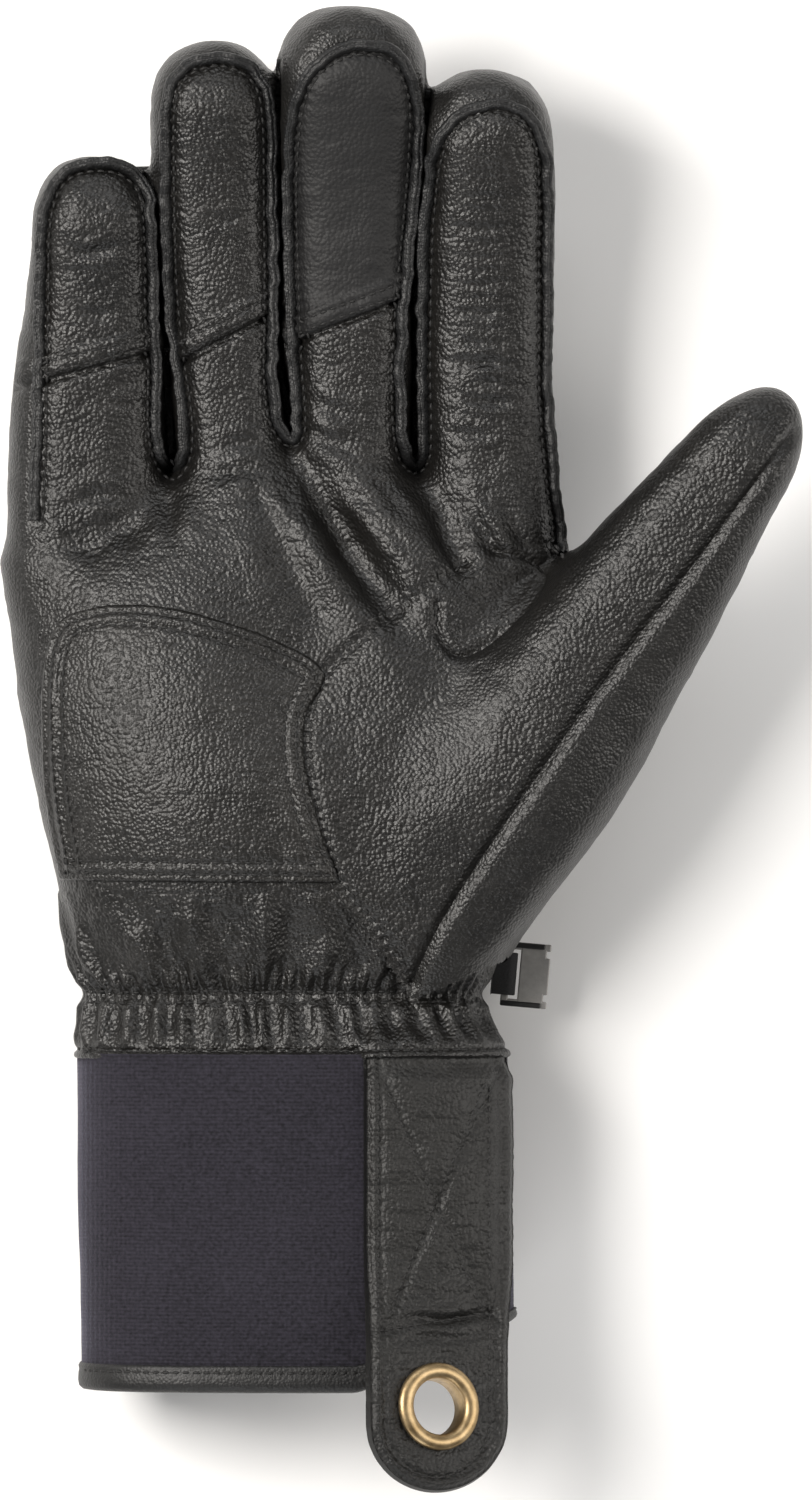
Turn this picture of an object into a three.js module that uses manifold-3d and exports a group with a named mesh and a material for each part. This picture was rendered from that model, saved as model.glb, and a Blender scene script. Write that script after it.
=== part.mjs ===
// A right-hand leather ski glove, hollow, lying on its back with the palm up.
// While modelling, x runs from the little finger to the thumb, y from the wrist hem
// to the fingertips and z up from the surface. All lengths are in millimetres.

import * as THREE from "three";
import Module from "manifold-3d";

const wasm = await Module();
wasm.setup();

// Hand
const handWidth = 112;
const handLength = 125;
const handDepth = 50;
const leatherWall = 2.4;
const seamGap = 0.35;

// Digits
const fingerDepth = 29;
const fingertipLength = 12.5;
const pinkyReach = 79.6;
const ringReach = 102.7;
const middleReach = 109;
const indexReach = 96.3;
const pinkyWidth = 26;
const ringWidth = 25;
const middleWidth = 29;
const indexWidth = 27;
const thumbReach = 130.8;
const thumbWidth = 40;
const thumbDepth = 30;
const thumbTipLength = 17;

// Heel patch sewn on the palm
const patchThickness = 1.3;

// Gathered wrist with its hem
const gatherCount = 18;
const gatherDepth = 2.2;
const elasticDraw = 1.2;
const hemHeight = 3.4;
const hemProud = 0.7;
const hemStep = 0.5;

// Knit-faced foam cuff, its binding and the rise of its mouth towards the thumb
const cuffLength = 66;
const cuffWidth = 87;
const cuffDepth = 46;
const cuffWall = 3;
const cuffTuck = 5;
const bindingHeight = 5;
const bindingWall = 1.2;
const bindingRound = 0.6;
const mouthRise = 13;

// Pull tab and eyelet
const tabLength = 84.4;
const tabWidth = 27.4;
const tabThickness = 3;
const tabOffset = 29;
const tabHeight = 45.2;
const tabTilt = 25;
const tabLift = 9;
const tabRound = 0.985;
const eyeletOuterRadius = 8.8;
const eyeletHoleRadius = 5.6;
const eyeletBarrelWall = 0.8;
const eyeletRoll = 1.5;
const eyeletFlange = 0.8;
const eyeletLip = 0.4;
const eyeletInset = 16.4;

// Glove clip on its webbing loop
const clipLength = 9.4;
const clipWidth = 13;
const clipThickness = 1.8;
const clipBarWidth = 1.5;
const clipSlotWidth = 1.9;
const clipRailLength = 8.2;
const clipRailWidth = 1.1;
const clipRailHeight = 0.9;
const clipNotch = 1.4;
const clipNotchDepth = 0.8;
const clipAlong = 0.136;
const clipHeight = 13;
const clipTurn = -5;
const webbingWidth = 8.6;
const webbingThickness = 1;
const webbingReach = 2.1;
const clearance = 0.35;

// Palm body, a row for each section from the hem (0) to the knuckles (1).
// left and right are shares of handWidth, floor and top of handDepth. Where floor
// falls below the surface the glove is flattened by its own weight.
const palmRows = [
  { at: -0.04, left: -0.386, right: 0.39, floor: 0.03, top: 0.9 },
  { at: 0, left: -0.386, right: 0.387, floor: 0.03, top: 0.9 },
  { at: 0.096, left: -0.385, right: 0.36, floor: 0.04, top: 0.86 },
  { at: 0.19, left: -0.399, right: 0.375, floor: 0.01, top: 0.91 },
  { at: 0.28, left: -0.416, right: 0.397, floor: -0.015, top: 0.97 },
  { at: 0.43, left: -0.453, right: 0.43, floor: -0.02, top: 1 },
  { at: 0.575, left: -0.485, right: 0.464, floor: -0.02, top: 0.98 },
  { at: 0.7, left: -0.503, right: 0.482, floor: -0.01, top: 0.93 },
  { at: 0.81, left: -0.511, right: 0.491, floor: 0.03, top: 0.86 },
  { at: 0.9, left: -0.5, right: 0.487, floor: 0.07, top: 0.79 },
  { at: 1, left: -0.44, right: 0.43, floor: 0.2, top: 0.66 },
];
const palmSquareness = 2.5;

// The palm body ends in an arch: its crown and half span are shares of handWidth, its
// drop and its greatest drop shares of handLength, and it fades in from archStart.
const archCrown = 0.01;
const archSpan = 0.215;
const archDrop = 0.052;
const archDropLimit = 0.14;
const archStart = 0.74;

// Hollows and swellings of the palm side. Places and radii are shares of handWidth
// (across, wide) and handLength (along, long), turn is in degrees, depth is a share of
// handDepth and negative where the leather swells.
const palmDents = [
  { across: 0.03, along: 0.64, wide: 0.13, long: 0.16, turn: 0, depth: 0.07 },
  { across: 0.1, along: 0.86, wide: 0.04, long: 0.2, turn: -32, depth: 0.07 },
  { across: 0.2, along: 0.9, wide: 0.07, long: 0.2, turn: -32, depth: -0.03 },
  { across: -0.22, along: 0.5, wide: 0.17, long: 0.18, turn: 0, depth: -0.025 },
];

// Lines down a digit: curl is a share of its rise, deep a share of its depth.
const fingerProfile = [
  { at: -0.14, curl: -0.01, deep: 0.86 },
  { at: 0, curl: 0, deep: 1 },
  { at: 0.35, curl: 0.1, deep: 0.98 },
  { at: 0.7, curl: 0.45, deep: 0.92 },
  { at: 1, curl: 1, deep: 0.86 },
];
const thumbProfile = [
  { at: -0.1, curl: 0, deep: 0.6 },
  { at: -0.03, curl: 0, deep: 0.88 },
  { at: 0.06, curl: 0.01, deep: 1.04 },
  { at: 0.2, curl: 0.05, deep: 1.15 },
  { at: 0.335, curl: 0.16, deep: 1.15 },
  { at: 0.59, curl: 0.4, deep: 1 },
  { at: 0.81, curl: 0.72, deep: 0.82 },
  { at: 1, curl: 1, deep: 0.74 },
];

// Digits. across is a share of handWidth, along of handLength, height and rise of
// handDepth, and splay is in degrees away from the little finger. In their rows at is
// a share of the reach, wide and side are shares of the width.
const digits = {
  pinky: {
    reach: pinkyReach, width: pinkyWidth, depth: fingerDepth, tip: fingertipLength,
    across: -0.37, along: 0.812, height: 0.44, rise: 0.25, splay: 2.3,
    profile: fingerProfile,
    rows: [
      { at: -0.14, wide: 1, side: 0.02 },
      { at: 0, wide: 1.15, side: 0 },
      { at: 0.2, wide: 1.22, side: 0 },
      { at: 0.42, wide: 1.175, side: 0 },
      { at: 0.62, wide: 1.06, side: 0 },
      { at: 0.8, wide: 0.965, side: 0 },
      { at: 1, wide: 0.93, side: 0 },
    ],
  },
  ring: {
    reach: ringReach, width: ringWidth, depth: fingerDepth, tip: fingertipLength,
    across: -0.089, along: 0.812, height: 0.44, rise: 0.3, splay: -3.35,
    profile: fingerProfile,
    rows: [
      { at: -0.14, wide: 0.8, side: 0 },
      { at: 0, wide: 0.9, side: 0 },
      { at: 0.3, wide: 0.91, side: 0 },
      { at: 0.5, wide: 0.94, side: 0 },
      { at: 0.8, wide: 1, side: -0.03 },
      { at: 1, wide: 0.98, side: 0.04 },
    ],
  },
  middle: {
    reach: middleReach, width: middleWidth, depth: fingerDepth, tip: fingertipLength,
    across: 0.109, along: 0.812, height: 0.44, rise: 0.44, splay: 0,
    profile: fingerProfile,
    rows: [
      { at: -0.14, wide: 0.75, side: 0 },
      { at: 0, wide: 0.84, side: 0 },
      { at: 0.28, wide: 0.84, side: 0 },
      { at: 0.4, wide: 0.9, side: 0 },
      { at: 0.7, wide: 0.96, side: 0.005 },
      { at: 0.85, wide: 1.01, side: 0.01 },
      { at: 1, wide: 1, side: 0 },
    ],
  },
  index: {
    reach: indexReach, width: indexWidth, depth: fingerDepth, tip: fingertipLength,
    across: 0.354, along: 0.812, height: 0.44, rise: 0.37, splay: 0,
    profile: fingerProfile,
    rows: [
      { at: -0.14, wide: 0.9, side: 0 },
      { at: 0, wide: 1.04, side: 0.01 },
      { at: 0.2, wide: 1.01, side: 0.02 },
      { at: 0.36, wide: 0.985, side: -0.008 },
      { at: 0.67, wide: 1, side: -0.005 },
      { at: 0.83, wide: 0.97, side: 0.01 },
      { at: 1, wide: 0.95, side: -0.04 },
    ],
  },
  thumb: {
    reach: thumbReach, width: thumbWidth, depth: thumbDepth, tip: thumbTipLength,
    across: 0.214, along: 0.208, height: 0.64, rise: 0.3, splay: 35.1,
    profile: thumbProfile,
    rows: [
      { at: -0.1, wide: 0.5, side: 0 },
      { at: -0.03, wide: 0.78, side: 0 },
      { at: 0.08, wide: 0.915, side: 0 },
      { at: 0.214, wide: 1, side: 0 },
      { at: 0.348, wide: 0.99, side: 0 },
      { at: 0.481, wide: 0.915, side: 0 },
      { at: 0.616, wide: 0.8, side: 0 },
      { at: 0.742, wide: 0.69, side: 0 },
      { at: 0.869, wide: 0.56, side: 0 },
      { at: 1, wide: 0.5, side: 0 },
    ],
  },
};
const digitSquareness = 2.9;

// Heights of the seams along a finger, as shares of its half depth, and of the lower
// edge of the palm and thumb panels, as a share of handDepth.
const frontSeam = 0.62;
const backSeam = -0.55;
const thumbBackSeam = -0.05;
const panelEdge = 0.48;
const thumbPanelEdge = 0.4;

// Where the face of a finger starts and where a cutter is past its tip, as shares of the
// reach, and how far down the fingers the side strips reach, as shares of handLength.
const faceStart = [0.02, 0.02];
const pastTip = [1.06, 1.06];
const crotches = { pinkyRing: 0.905, ringMiddle: 0.955, middleIndex: 0.91 };

// Slanted cross seams where the fingertip faces are sewn on, as shares of the reach.
const crossSeams = {
  pinky: { left: 0.41, right: 0.52 },
  ring: { left: 0.375, right: 0.47 },
  middle: { left: 0.385, right: 0.475 },
};

// Seam lines seen from the palm: [share of handWidth, share of handLength].
const sideSeam = [
  [-0.42, 0.24], [-0.421, 0.31], [-0.444, 0.405], [-0.453, 0.5], [-0.451, 0.62],
  [-0.446, 0.79], [-0.442, 0.88], [-0.447, 0.95],
];
const knuckleSeam = [
  [-0.25, 0.95], [-0.205, 0.925], [-0.16, 0.955], [-0.03, 0.985], [0.01, 0.98],
  [0.05, 0.985], [0.19, 0.95], [0.226, 0.93], [0.26, 0.95], [0.46, 0.92],
];
const indexSeam = [[0.472, 0.83], [0.455, 0.792]];
const thenarSeam = [
  [0.319, 0.8], [0.194, 0.72], [0.069, 0.624], [0.035, 0.55], [0.033, 0.48],
  [0.06, 0.368], [0.096, 0.275], [0.158, 0.208], [0.22, 0.12],
];
const thumbSeam = [
  [0.22, 0.12], [0.265, 0.208], [0.372, 0.36], [0.551, 0.592], [0.729, 0.8],
  [0.863, 0.957], [0.93, 1.03],
];
const thumbTipEdge = [[0.91, 1.1], [0.75, 1.15], [0.46, 0.83]];
const thumbRootEdge = [
  [0.25, 0.05], [0.6, 0.05], [1.1, 0.6], [1.1, 1.2], [0.5, 1.2], [0.478, 0.8], [0.46, 0.68],
];
const gussetOutline = [
  [0.266, 0.73], [0.268, 0.68], [0.3, 0.648], [0.34, 0.66], [0.4, 0.705], [0.45, 0.76],
  [0.452, 0.79], [0.37, 0.815], [0.32, 0.812], [0.285, 0.78],
];
const heelPatchOutline = [
  [-0.405, 0.288], [0.088, 0.284], [0.058, 0.368], [0.03, 0.47], [0.03, 0.55], [0.062, 0.62],
  [-0.03, 0.672], [-0.11, 0.698], [-0.2, 0.72], [-0.28, 0.727], [-0.35, 0.722], [-0.41, 0.7],
  [-0.435, 0.64], [-0.437, 0.5], [-0.428, 0.4],
];
// Where the gathered wrist ends and the hand begins, on the palm and on the back.
const wristLine = [
  [-1.1, 0.275], [0.09, 0.275], [0.158, 0.2], [0.22, 0.12], [0.31, 0.152], [0.4, 0.19], [1.1, 0.19],
];
const backWristLine = [[-1.1, 0.275], [0.22, 0.275], [0.3, 0.2], [0.36, 0.18], [1.1, 0.18]];

// Depth of the gathers and how far the elastic draws the leather in: at is a share of
// handLength, deep of gatherDepth and drawn of elasticDraw.
const gatherRows = [
  { at: 0.03, deep: 0.25, drawn: 0 },
  { at: 0.07, deep: 0.8, drawn: 0.7 },
  { at: 0.1, deep: 1, drawn: 1 },
  { at: 0.14, deep: 0.85, drawn: 0.6 },
  { at: 0.22, deep: 0.5, drawn: 0.1 },
  { at: 0.28, deep: 0.2, drawn: 0 },
];

// Cuff sections from the hem (0) to the mouth (1): left and right are shares of
// cuffWidth, floor and top of cuffDepth.
const cuffRows = [
  { at: 0, left: -0.491, right: 0.5, floor: 0.035, top: 1 },
  { at: 0.45, left: -0.489, right: 0.515, floor: 0.035, top: 1.02 },
  { at: 1, left: -0.48, right: 0.518, floor: 0.035, top: 1.03 },
];
const mouthRiseStart = 0.15;
const mouthRiseAcross = 1.2;
const mouthRiseAlong = 3;

// Down the cuff, as shares of cuffLength, the tab starts to part from it, bends up and
// is free.
const tabParts = 0.55;
const tabBends = 0.66;
const tabFree = 0.87;

// Facets round a section and sections along a body, outside and inside.
const facets = {
  palm: { ring: 28, along: 9 },
  palmInside: { ring: 20, along: 5 },
  finger: { ring: 14, along: 5, dome: [0, 30, 55, 78] },
  fingerInside: { ring: 8, along: 3, dome: [0, 50] },
  thumb: { ring: 16, along: 7, dome: [0, 30, 55, 78] },
  thumbInside: { ring: 10, along: 4, dome: [0, 50] },
};
const gatherFacets = 4;
const roundFacets = 16;
const beyond = 60;
const skyHeight = 90;

// Smooth value of a named column of a table whose rows are sorted by at.
function column(rows, name, at) {
  const last = rows.length - 1;
  if (at <= rows[0].at) return rows[0][name];
  if (at >= rows[last].at) return rows[last][name];
  const i = rows.findIndex((row, k) => at <= rows[k + 1].at);
  const slope = (k) => {
    const before = rows[Math.max(k - 1, 0)];
    const after = rows[Math.min(k + 1, last)];
    return (after[name] - before[name]) / (after.at - before.at);
  };
  const span = rows[i + 1].at - rows[i].at;
  const t = (at - rows[i].at) / span;
  const ease = t * t * (3 - 2 * t);
  const pull = t * (1 - t) * span * ((1 - t) * slope(i) - t * slope(i + 1));
  return rows[i][name] * (1 - ease) + rows[i + 1][name] * ease + pull;
}

function smoothstep(x) {
  const t = Math.min(1, Math.max(0, x));
  return t * t * (3 - 2 * t);
}

// A closed, indexed geometry as a solid for joining and cutting.
function solid(geometry) {
  return new wasm.Manifold(
    new wasm.Mesh({
      numProp: 3,
      vertProperties: new Float32Array(geometry.getAttribute("position").array),
      triVerts: new Uint32Array(geometry.index.array),
    }),
  );
}

// Merges the vertices that are kept apart for flat shading.
function welded(geometry) {
  const position = geometry.getAttribute("position");
  const found = new Map();
  const points = [];
  const corners = geometry.index ? [...geometry.index.array] : [...Array(position.count).keys()];
  const index = corners.map((corner) => {
    const p = new THREE.Vector3().fromBufferAttribute(position, corner);
    const key = p.toArray().map((v) => Math.round(v * 1e4)).join();
    if (!found.has(key)) found.set(key, points.push(p) - 1);
    return found.get(key);
  });
  const faces = [];
  for (let f = 0; f < index.length; f += 3) {
    const [a, b, c] = index.slice(f, f + 3);
    if (a !== b && b !== c && c !== a) faces.push(a, b, c);
  }
  return new THREE.BufferGeometry().setFromPoints(points).setIndex(faces);
}

// The biggest body of a solid, without the slivers that a cut may leave.
function biggest(cut) {
  const bodies = cut.decompose();
  return bodies.reduce((best, body) => (body.volume() > best.volume() ? body : best));
}

// A closed hoop through equally many points of a profile at each turn of a loop.
function hoop(profiles) {
  const [n, m] = [profiles.length, profiles[0].length];
  const faces = [];
  for (let k = 0; k < n; k++) {
    for (let j = 0; j < m; j++) {
      const [near, far] = [k * m, ((k + 1) % n) * m];
      const next = (j + 1) % m;
      faces.push(near + j, near + next, far + next, near + j, far + next, far + j);
    }
  }
  return solid(new THREE.BufferGeometry().setFromPoints(profiles.flat()).setIndex(faces));
}

// A closed tube through rings of equally many points. Each ring runs from +x to +z
// and the rings advance along +y.
function tube(rings) {
  const n = rings[0].length;
  const centres = [rings[0], rings.at(-1)].map((ring) =>
    ring.reduce((sum, p) => sum.add(p), new THREE.Vector3()).divideScalar(n),
  );
  const start = rings.length * n;
  const end = start + 1;
  const faces = [];
  for (let k = 0; k < n; k++) {
    const next = (k + 1) % n;
    for (let r = 0; r + 1 < rings.length; r++) {
      const [a, b, c, d] = [r * n + k, (r + 1) * n + k, (r + 1) * n + next, r * n + next];
      faces.push(a, b, c, a, c, d);
    }
    faces.push(start, k, next, end, start - n + next, start - n + k);
  }
  const points = [...rings.flat(), ...centres];
  return solid(new THREE.BufferGeometry().setFromPoints(points).setIndex(faces));
}

function inPlan(shares) {
  return shares.map(([across, along]) => [across * handWidth, along * handLength]);
}

// Moves each corner of a plan outline outwards, square to the line through its neighbours.
function grown(outline, by) {
  const n = outline.length;
  const area = outline.reduce((sum, [x, y], i) => {
    const [u, v] = outline[(i + 1) % n];
    return sum + x * v - u * y;
  }, 0);
  return outline.map(([x, y], i) => {
    const [px, py] = outline[(i + n - 1) % n];
    const [qx, qy] = outline[(i + 1) % n];
    const step = (Math.sign(area) * by) / Math.hypot(qx - px, qy - py);
    return [x + step * (qy - py), y - step * (qx - px)];
  });
}

// Upright block over a plan outline, between two heights.
function block(outline, low, high) {
  const shape = new THREE.Shape(outline.map(([x, y]) => new THREE.Vector2(x, y)));
  const geometry = new THREE.ExtrudeGeometry(shape, { depth: high - low, bevelEnabled: false });
  return solid(welded(geometry.translate(0, 0, low)));
}

function panelBlock(outline, low, gap) {
  return block(grown(outline, gap), low - gap, skyHeight);
}

function superellipse(angle, squareness) {
  const power = 2 / squareness;
  const bend = (v) => Math.sign(v) * Math.abs(v) ** power;
  return [bend(Math.cos(angle)), bend(Math.sin(angle))];
}

function ringOf(count, point) {
  return Array.from({ length: count }, (_, k) => point((2 * Math.PI * (k + 0.5)) / count));
}

// Middle and half sizes of a section of the palm or the cuff, inset from the outside.
function bodySection(rows, width, depth, at, inset) {
  const left = column(rows, "left", at) * width + inset;
  const right = column(rows, "right", at) * width - inset;
  const floor = column(rows, "floor", at) * depth + inset;
  const top = column(rows, "top", at) * depth - inset;
  return {
    x: (left + right) / 2,
    z: (floor + top) / 2,
    halfWidth: (right - left) / 2,
    halfDepth: (top - floor) / 2,
  };
}

function palmDent(x, y) {
  return palmDents.reduce((sum, dent) => {
    const turn = THREE.MathUtils.degToRad(dent.turn);
    const u = x - dent.across * handWidth;
    const v = y - dent.along * handLength;
    const across = (u * Math.cos(turn) - v * Math.sin(turn)) / (dent.wide * handWidth);
    const along = (u * Math.sin(turn) + v * Math.cos(turn)) / (dent.long * handLength);
    return sum + dent.depth * handDepth * Math.exp(-across * across - along * along);
  }, 0);
}

// How far the arch at the knuckles lies below the end of the palm body, lowest beside
// the little finger and the index.
function knuckleArch(x, at) {
  const fromCrown = (x / handWidth - archCrown) / archSpan;
  const drop = Math.min(archDrop * fromCrown * fromCrown, archDropLimit) * handLength;
  return drop * smoothstep((at - archStart) / (1 - archStart));
}

function palmPoint(at, angle, inset, flatness = 1) {
  const section = bodySection(palmRows, handWidth, handDepth, at, inset);
  const [u, height] = superellipse(angle, palmSquareness);
  const w = height * flatness;
  const x = section.x + u * section.halfWidth;
  const y = at * handLength - knuckleArch(x, at);
  const z = section.z + w * section.halfDepth - Math.max(0, w) * palmDent(x, y);
  return new THREE.Vector3(x, y, Math.max(z, Math.max(0, inset)));
}

function palmBody(inset, { ring, along }) {
  const from = palmRows[0].at;
  const to = 1 - Math.max(0, inset) / handLength;
  const shoulder = to - 0.015;
  const stations = [
    ...Array.from({ length: along + 1 }, (_, i) => [from + ((shoulder - from) * i) / along, 1]),
    [to, 0.75],
    [to, 0.03],
  ];
  return tube(
    stations.map(([at, flatness]) => ringOf(ring, (angle) => palmPoint(at, angle, inset, flatness))),
  );
}

// Middle line of a digit, and the frame and half sizes of a section across it.
function digitCentre(digit, at) {
  const splay = THREE.MathUtils.degToRad(digit.splay);
  const side = column(digit.rows, "side", at) * digit.width;
  const along = digit.reach * at;
  return new THREE.Vector3(
    digit.across * handWidth + along * Math.sin(splay) + side * Math.cos(splay),
    digit.along * handLength + along * Math.cos(splay) - side * Math.sin(splay),
    (digit.height + digit.rise * column(digit.profile, "curl", at)) * handDepth,
  );
}

function digitSection(digit, at) {
  const step = 0.04;
  const forward = digitCentre(digit, at + step).sub(digitCentre(digit, at - step)).normalize();
  const right = new THREE.Vector3().crossVectors(forward, new THREE.Vector3(0, 0, 1)).normalize();
  return {
    centre: digitCentre(digit, at),
    right,
    up: new THREE.Vector3().crossVectors(right, forward),
    halfWidth: (column(digit.rows, "wide", at) * digit.width) / 2,
    halfDepth: (column(digit.profile, "deep", at) * digit.depth) / 2,
  };
}

function inSection(section, u, w) {
  return section.centre.clone().addScaledVector(section.right, u).addScaledVector(section.up, w);
}

// A digit from its root to its rounded tip, inset from the outside.
function digitBody(digit, { ring, along, dome }, inset) {
  const from = digit.profile[0].at;
  const domeStart = 1 - digit.tip / digit.reach;
  const domeEnd = 1 - inset / digit.reach;
  const stations = [
    ...Array.from({ length: along }, (_, i) => [from + ((domeStart - from) * i) / along, 1]),
    ...dome.map((degrees) => {
      const angle = THREE.MathUtils.degToRad(degrees);
      return [domeStart + (domeEnd - domeStart) * Math.sin(angle), Math.cos(angle)];
    }),
  ];
  return tube(
    stations.map(([at, roundness]) => {
      const section = digitSection(digit, at);
      return ringOf(ring, (angle) => {
        const [u, w] = superellipse(angle, digitSquareness);
        const across = u * (section.halfWidth - inset) * roundness;
        return inSection(section, across, w * (section.halfDepth - inset) * roundness);
      });
    }),
  );
}

// The palm body joined with its five digits.
function wholeHand(inset, palm, finger, thumb) {
  const fingers = [digits.pinky, digits.ring, digits.middle, digits.index];
  return [...fingers.map((digit) => digitBody(digit, finger, inset)), digitBody(digits.thumb, thumb, inset)]
    .reduce((all, one) => all.add(one), palmBody(inset, palm));
}

// A slab along a digit. across and height are its limits as shares of the half width
// and half depth, start and end its limits along the left and right edge as shares of
// the reach. gap lets it out on every side.
function digitSlab(digit, { across, height, start, end }, gap) {
  const stations = 3;
  const out = gap / digit.reach;
  const edge = (side, i) => {
    const along = start[side] - out + ((end[side] - start[side] + 2 * out) * i) / stations;
    const section = digitSection(digit, along);
    const u = across[side] * section.halfWidth + (side ? gap : -gap);
    const [low, high] = height.map((share) => share * section.halfDepth);
    return [inSection(section, u, low - gap), inSection(section, u, high + gap)];
  };
  return tube(
    Array.from({ length: stations + 1 }, (_, i) => {
      const [leftLow, leftHigh] = edge(0, i);
      const [rightLow, rightHigh] = edge(1, i);
      return [rightLow, rightHigh, leftHigh, leftLow];
    }),
  );
}

// Cutter for the front of a finger between two places on it.
function fingerFace(digit, start, end, gap) {
  return digitSlab(digit, { across: [-1.3, 1.3], height: [frontSeam, 1.8], start, end }, gap);
}

// Cutter for the side of a finger: side -1 is its left, 1 its right.
function fingerSide(digit, side, from, gap) {
  const across = side > 0 ? [0.5, 1.35] : [-1.35, -0.5];
  const cut = { across, height: [backSeam, frontSeam], start: [from, from], end: pastTip };
  return digitSlab(digit, cut, gap);
}

// Share of a digit's reach at which it passes a share of handLength.
function reachAt(digit, along) {
  return ((along - digit.along) * handLength) / digit.reach;
}

function fourchette(left, right, crotch, gap) {
  const onLeft = fingerSide(left, 1, reachAt(left, crotch), gap);
  const onRight = fingerSide(right, -1, reachAt(right, crotch), gap);
  return onLeft.add(onRight);
}

// The leather hand as one hollow shell, open at the wrist.
function handShell() {
  const outside = wholeHand(0, facets.palm, facets.finger, facets.thumb);
  const inside = wholeHand(leatherWall, facets.palmInside, facets.fingerInside, facets.thumbInside);
  return biggest(outside.subtract(inside).subtract(belowWristLine(0)));
}

// Everything below the line between wrist and hand, which runs lower on the palm side.
function belowWristLine(down) {
  const under = (shares, low, high) => {
    const line = inPlan(shares).map(([x, y]) => [x, y - down]);
    const corners = [[line[0][0], -beyond], [line.at(-1)[0], -beyond]];
    return block([...corners, ...line.reverse()], low, high);
  };
  const step = panelEdge * handDepth;
  return under(wristLine, step - 0.01, skyHeight).add(under(backWristLine, -beyond, step));
}

// Cuts the shell into its sewn panels, each a clear seam apart from the next.
function handPanels() {
  const { pinky, ring, middle, index, thumb } = digits;
  const palmOutline = inPlan([...sideSeam, ...knuckleSeam, ...indexSeam, ...thenarSeam]);
  const thumbFrontOutline = inPlan([...thumbSeam, ...thumbTipEdge, ...thenarSeam.slice(0, -1)]);
  const thumbOutline = inPlan(thumbRootEdge);
  const sewnTips = { pinky, ring, middle };
  const seamOf = (name) => [crossSeams[name].left, crossSeams[name].right];
  const palmCutter = (gap) =>
    Object.entries(sewnTips).reduce(
      (cutter, [name, digit]) => cutter.add(fingerFace(digit, faceStart, seamOf(name), gap)),
      panelBlock(palmOutline, panelEdge * handDepth, gap).add(fingerFace(index, faceStart, pastTip, gap)),
    );
  const thumbFront = (gap) =>
    panelBlock(thumbFrontOutline, thumbPanelEdge * handDepth, gap).intersect(
      digitSlab(thumb, {
        across: [-1.6, 1.6], height: [thumbBackSeam, 2.2], start: [-0.3, -0.3], end: [1.1, 1.1],
      }, gap),
    );
  const cutters = {
    ...Object.fromEntries(
      Object.entries(sewnTips).map(([name, digit]) => [
        `${name}_tip_front`, (gap) => fingerFace(digit, seamOf(name), pastTip, gap),
      ]),
    ),
    thumb_gusset: (gap) => panelBlock(inPlan(gussetOutline), panelEdge * handDepth, gap),
    palm_panel: palmCutter,
    thumb_front: thumbFront,
    thumb_outer: (gap) => panelBlock(thumbOutline, thumbPanelEdge * handDepth, gap),
    fourchette_pinky_ring: (gap) => fourchette(pinky, ring, crotches.pinkyRing, gap),
    fourchette_ring_middle: (gap) => fourchette(ring, middle, crotches.ringMiddle, gap),
    fourchette_middle_index: (gap) => fourchette(middle, index, crotches.middleIndex, gap),
  };
  let rest = handShell();
  const panels = {};
  for (const [name, cutter] of Object.entries(cutters)) {
    panels[name] = biggest(rest.intersect(cutter(0)));
    rest = rest.subtract(cutter(seamGap));
  }
  return { ...panels, back_panel: biggest(rest) };
}

// Second layer of leather over the heel of the hand.
function heelPatch() {
  const under = -seamGap;
  const layer = palmBody(under - patchThickness, facets.palm).subtract(palmBody(under, facets.palm));
  const thumbSkin = digitBody(digits.thumb, facets.thumb, under);
  const cutter = block(inPlan(heelPatchOutline), panelEdge * handDepth, skyHeight);
  return biggest(layer.intersect(cutter).subtract(thumbSkin));
}

// Ring of leather between hem and hand, drawn in by elastic into upright gathers.
function wristGather() {
  const folds = [0.064, 0.096, 0.16, 0.288].map((share) => share * handLength);
  const heights = [0, hemHeight, hemHeight + hemStep, ...folds];
  const outside = tube(
    heights.map((y) =>
      ringOf(gatherFacets * gatherCount, (angle) => {
        const at = y / handLength;
        const wave = (1 + Math.cos(gatherCount * angle)) / 2;
        const fold = gatherDepth * column(gatherRows, "deep", at) * wave;
        const drawn = elasticDraw * column(gatherRows, "drawn", at);
        return palmPoint(at, angle, y > hemHeight ? drawn - fold : -hemProud);
      }),
    ),
  );
  const inside = tube(
    [-0.016, 0.096, 0.192, 0.304].map((at) =>
      ringOf(facets.palm.ring, (angle) => palmPoint(at, angle, leatherWall)),
    ),
  );
  return biggest(outside.subtract(inside).intersect(belowWristLine(seamGap)));
}

function cuffPoint(at, angle, inset) {
  const section = bodySection(cuffRows, cuffWidth, cuffDepth, at, inset);
  const [u, w] = superellipse(angle, palmSquareness);
  const x = section.x + u * section.halfWidth;
  const rise = Math.max(0, x / cuffWidth - mouthRiseStart) / (0.5 - mouthRiseStart);
  const y = -at * cuffLength + mouthRise * rise ** mouthRiseAcross * at ** mouthRiseAlong;
  return new THREE.Vector3(x, y, Math.max(section.z + w * section.halfDepth, 0));
}

const cuffEnd = 1 - (bindingWall + seamGap) / cuffLength;

// Sleeve of knit-faced foam whose top is tucked inside the wrist.
function cuff() {
  const shoulder = clearance / cuffLength;
  const places = [cuffEnd, 0.6, shoulder];
  return hoop(
    ringOf(facets.palm.ring, (angle) => {
      const tucked = (y, inset) => palmPoint(y / handLength, angle, leatherWall + clearance + inset);
      return [
        ...places.map((at) => cuffPoint(at, angle, 0)),
        tucked(0, 0),
        tucked(cuffTuck, 0),
        tucked(cuffTuck, cuffWall),
        ...[shoulder, 0.6, cuffEnd].map((at) => cuffPoint(at, angle, cuffWall)),
      ];
    }),
  );
}

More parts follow.
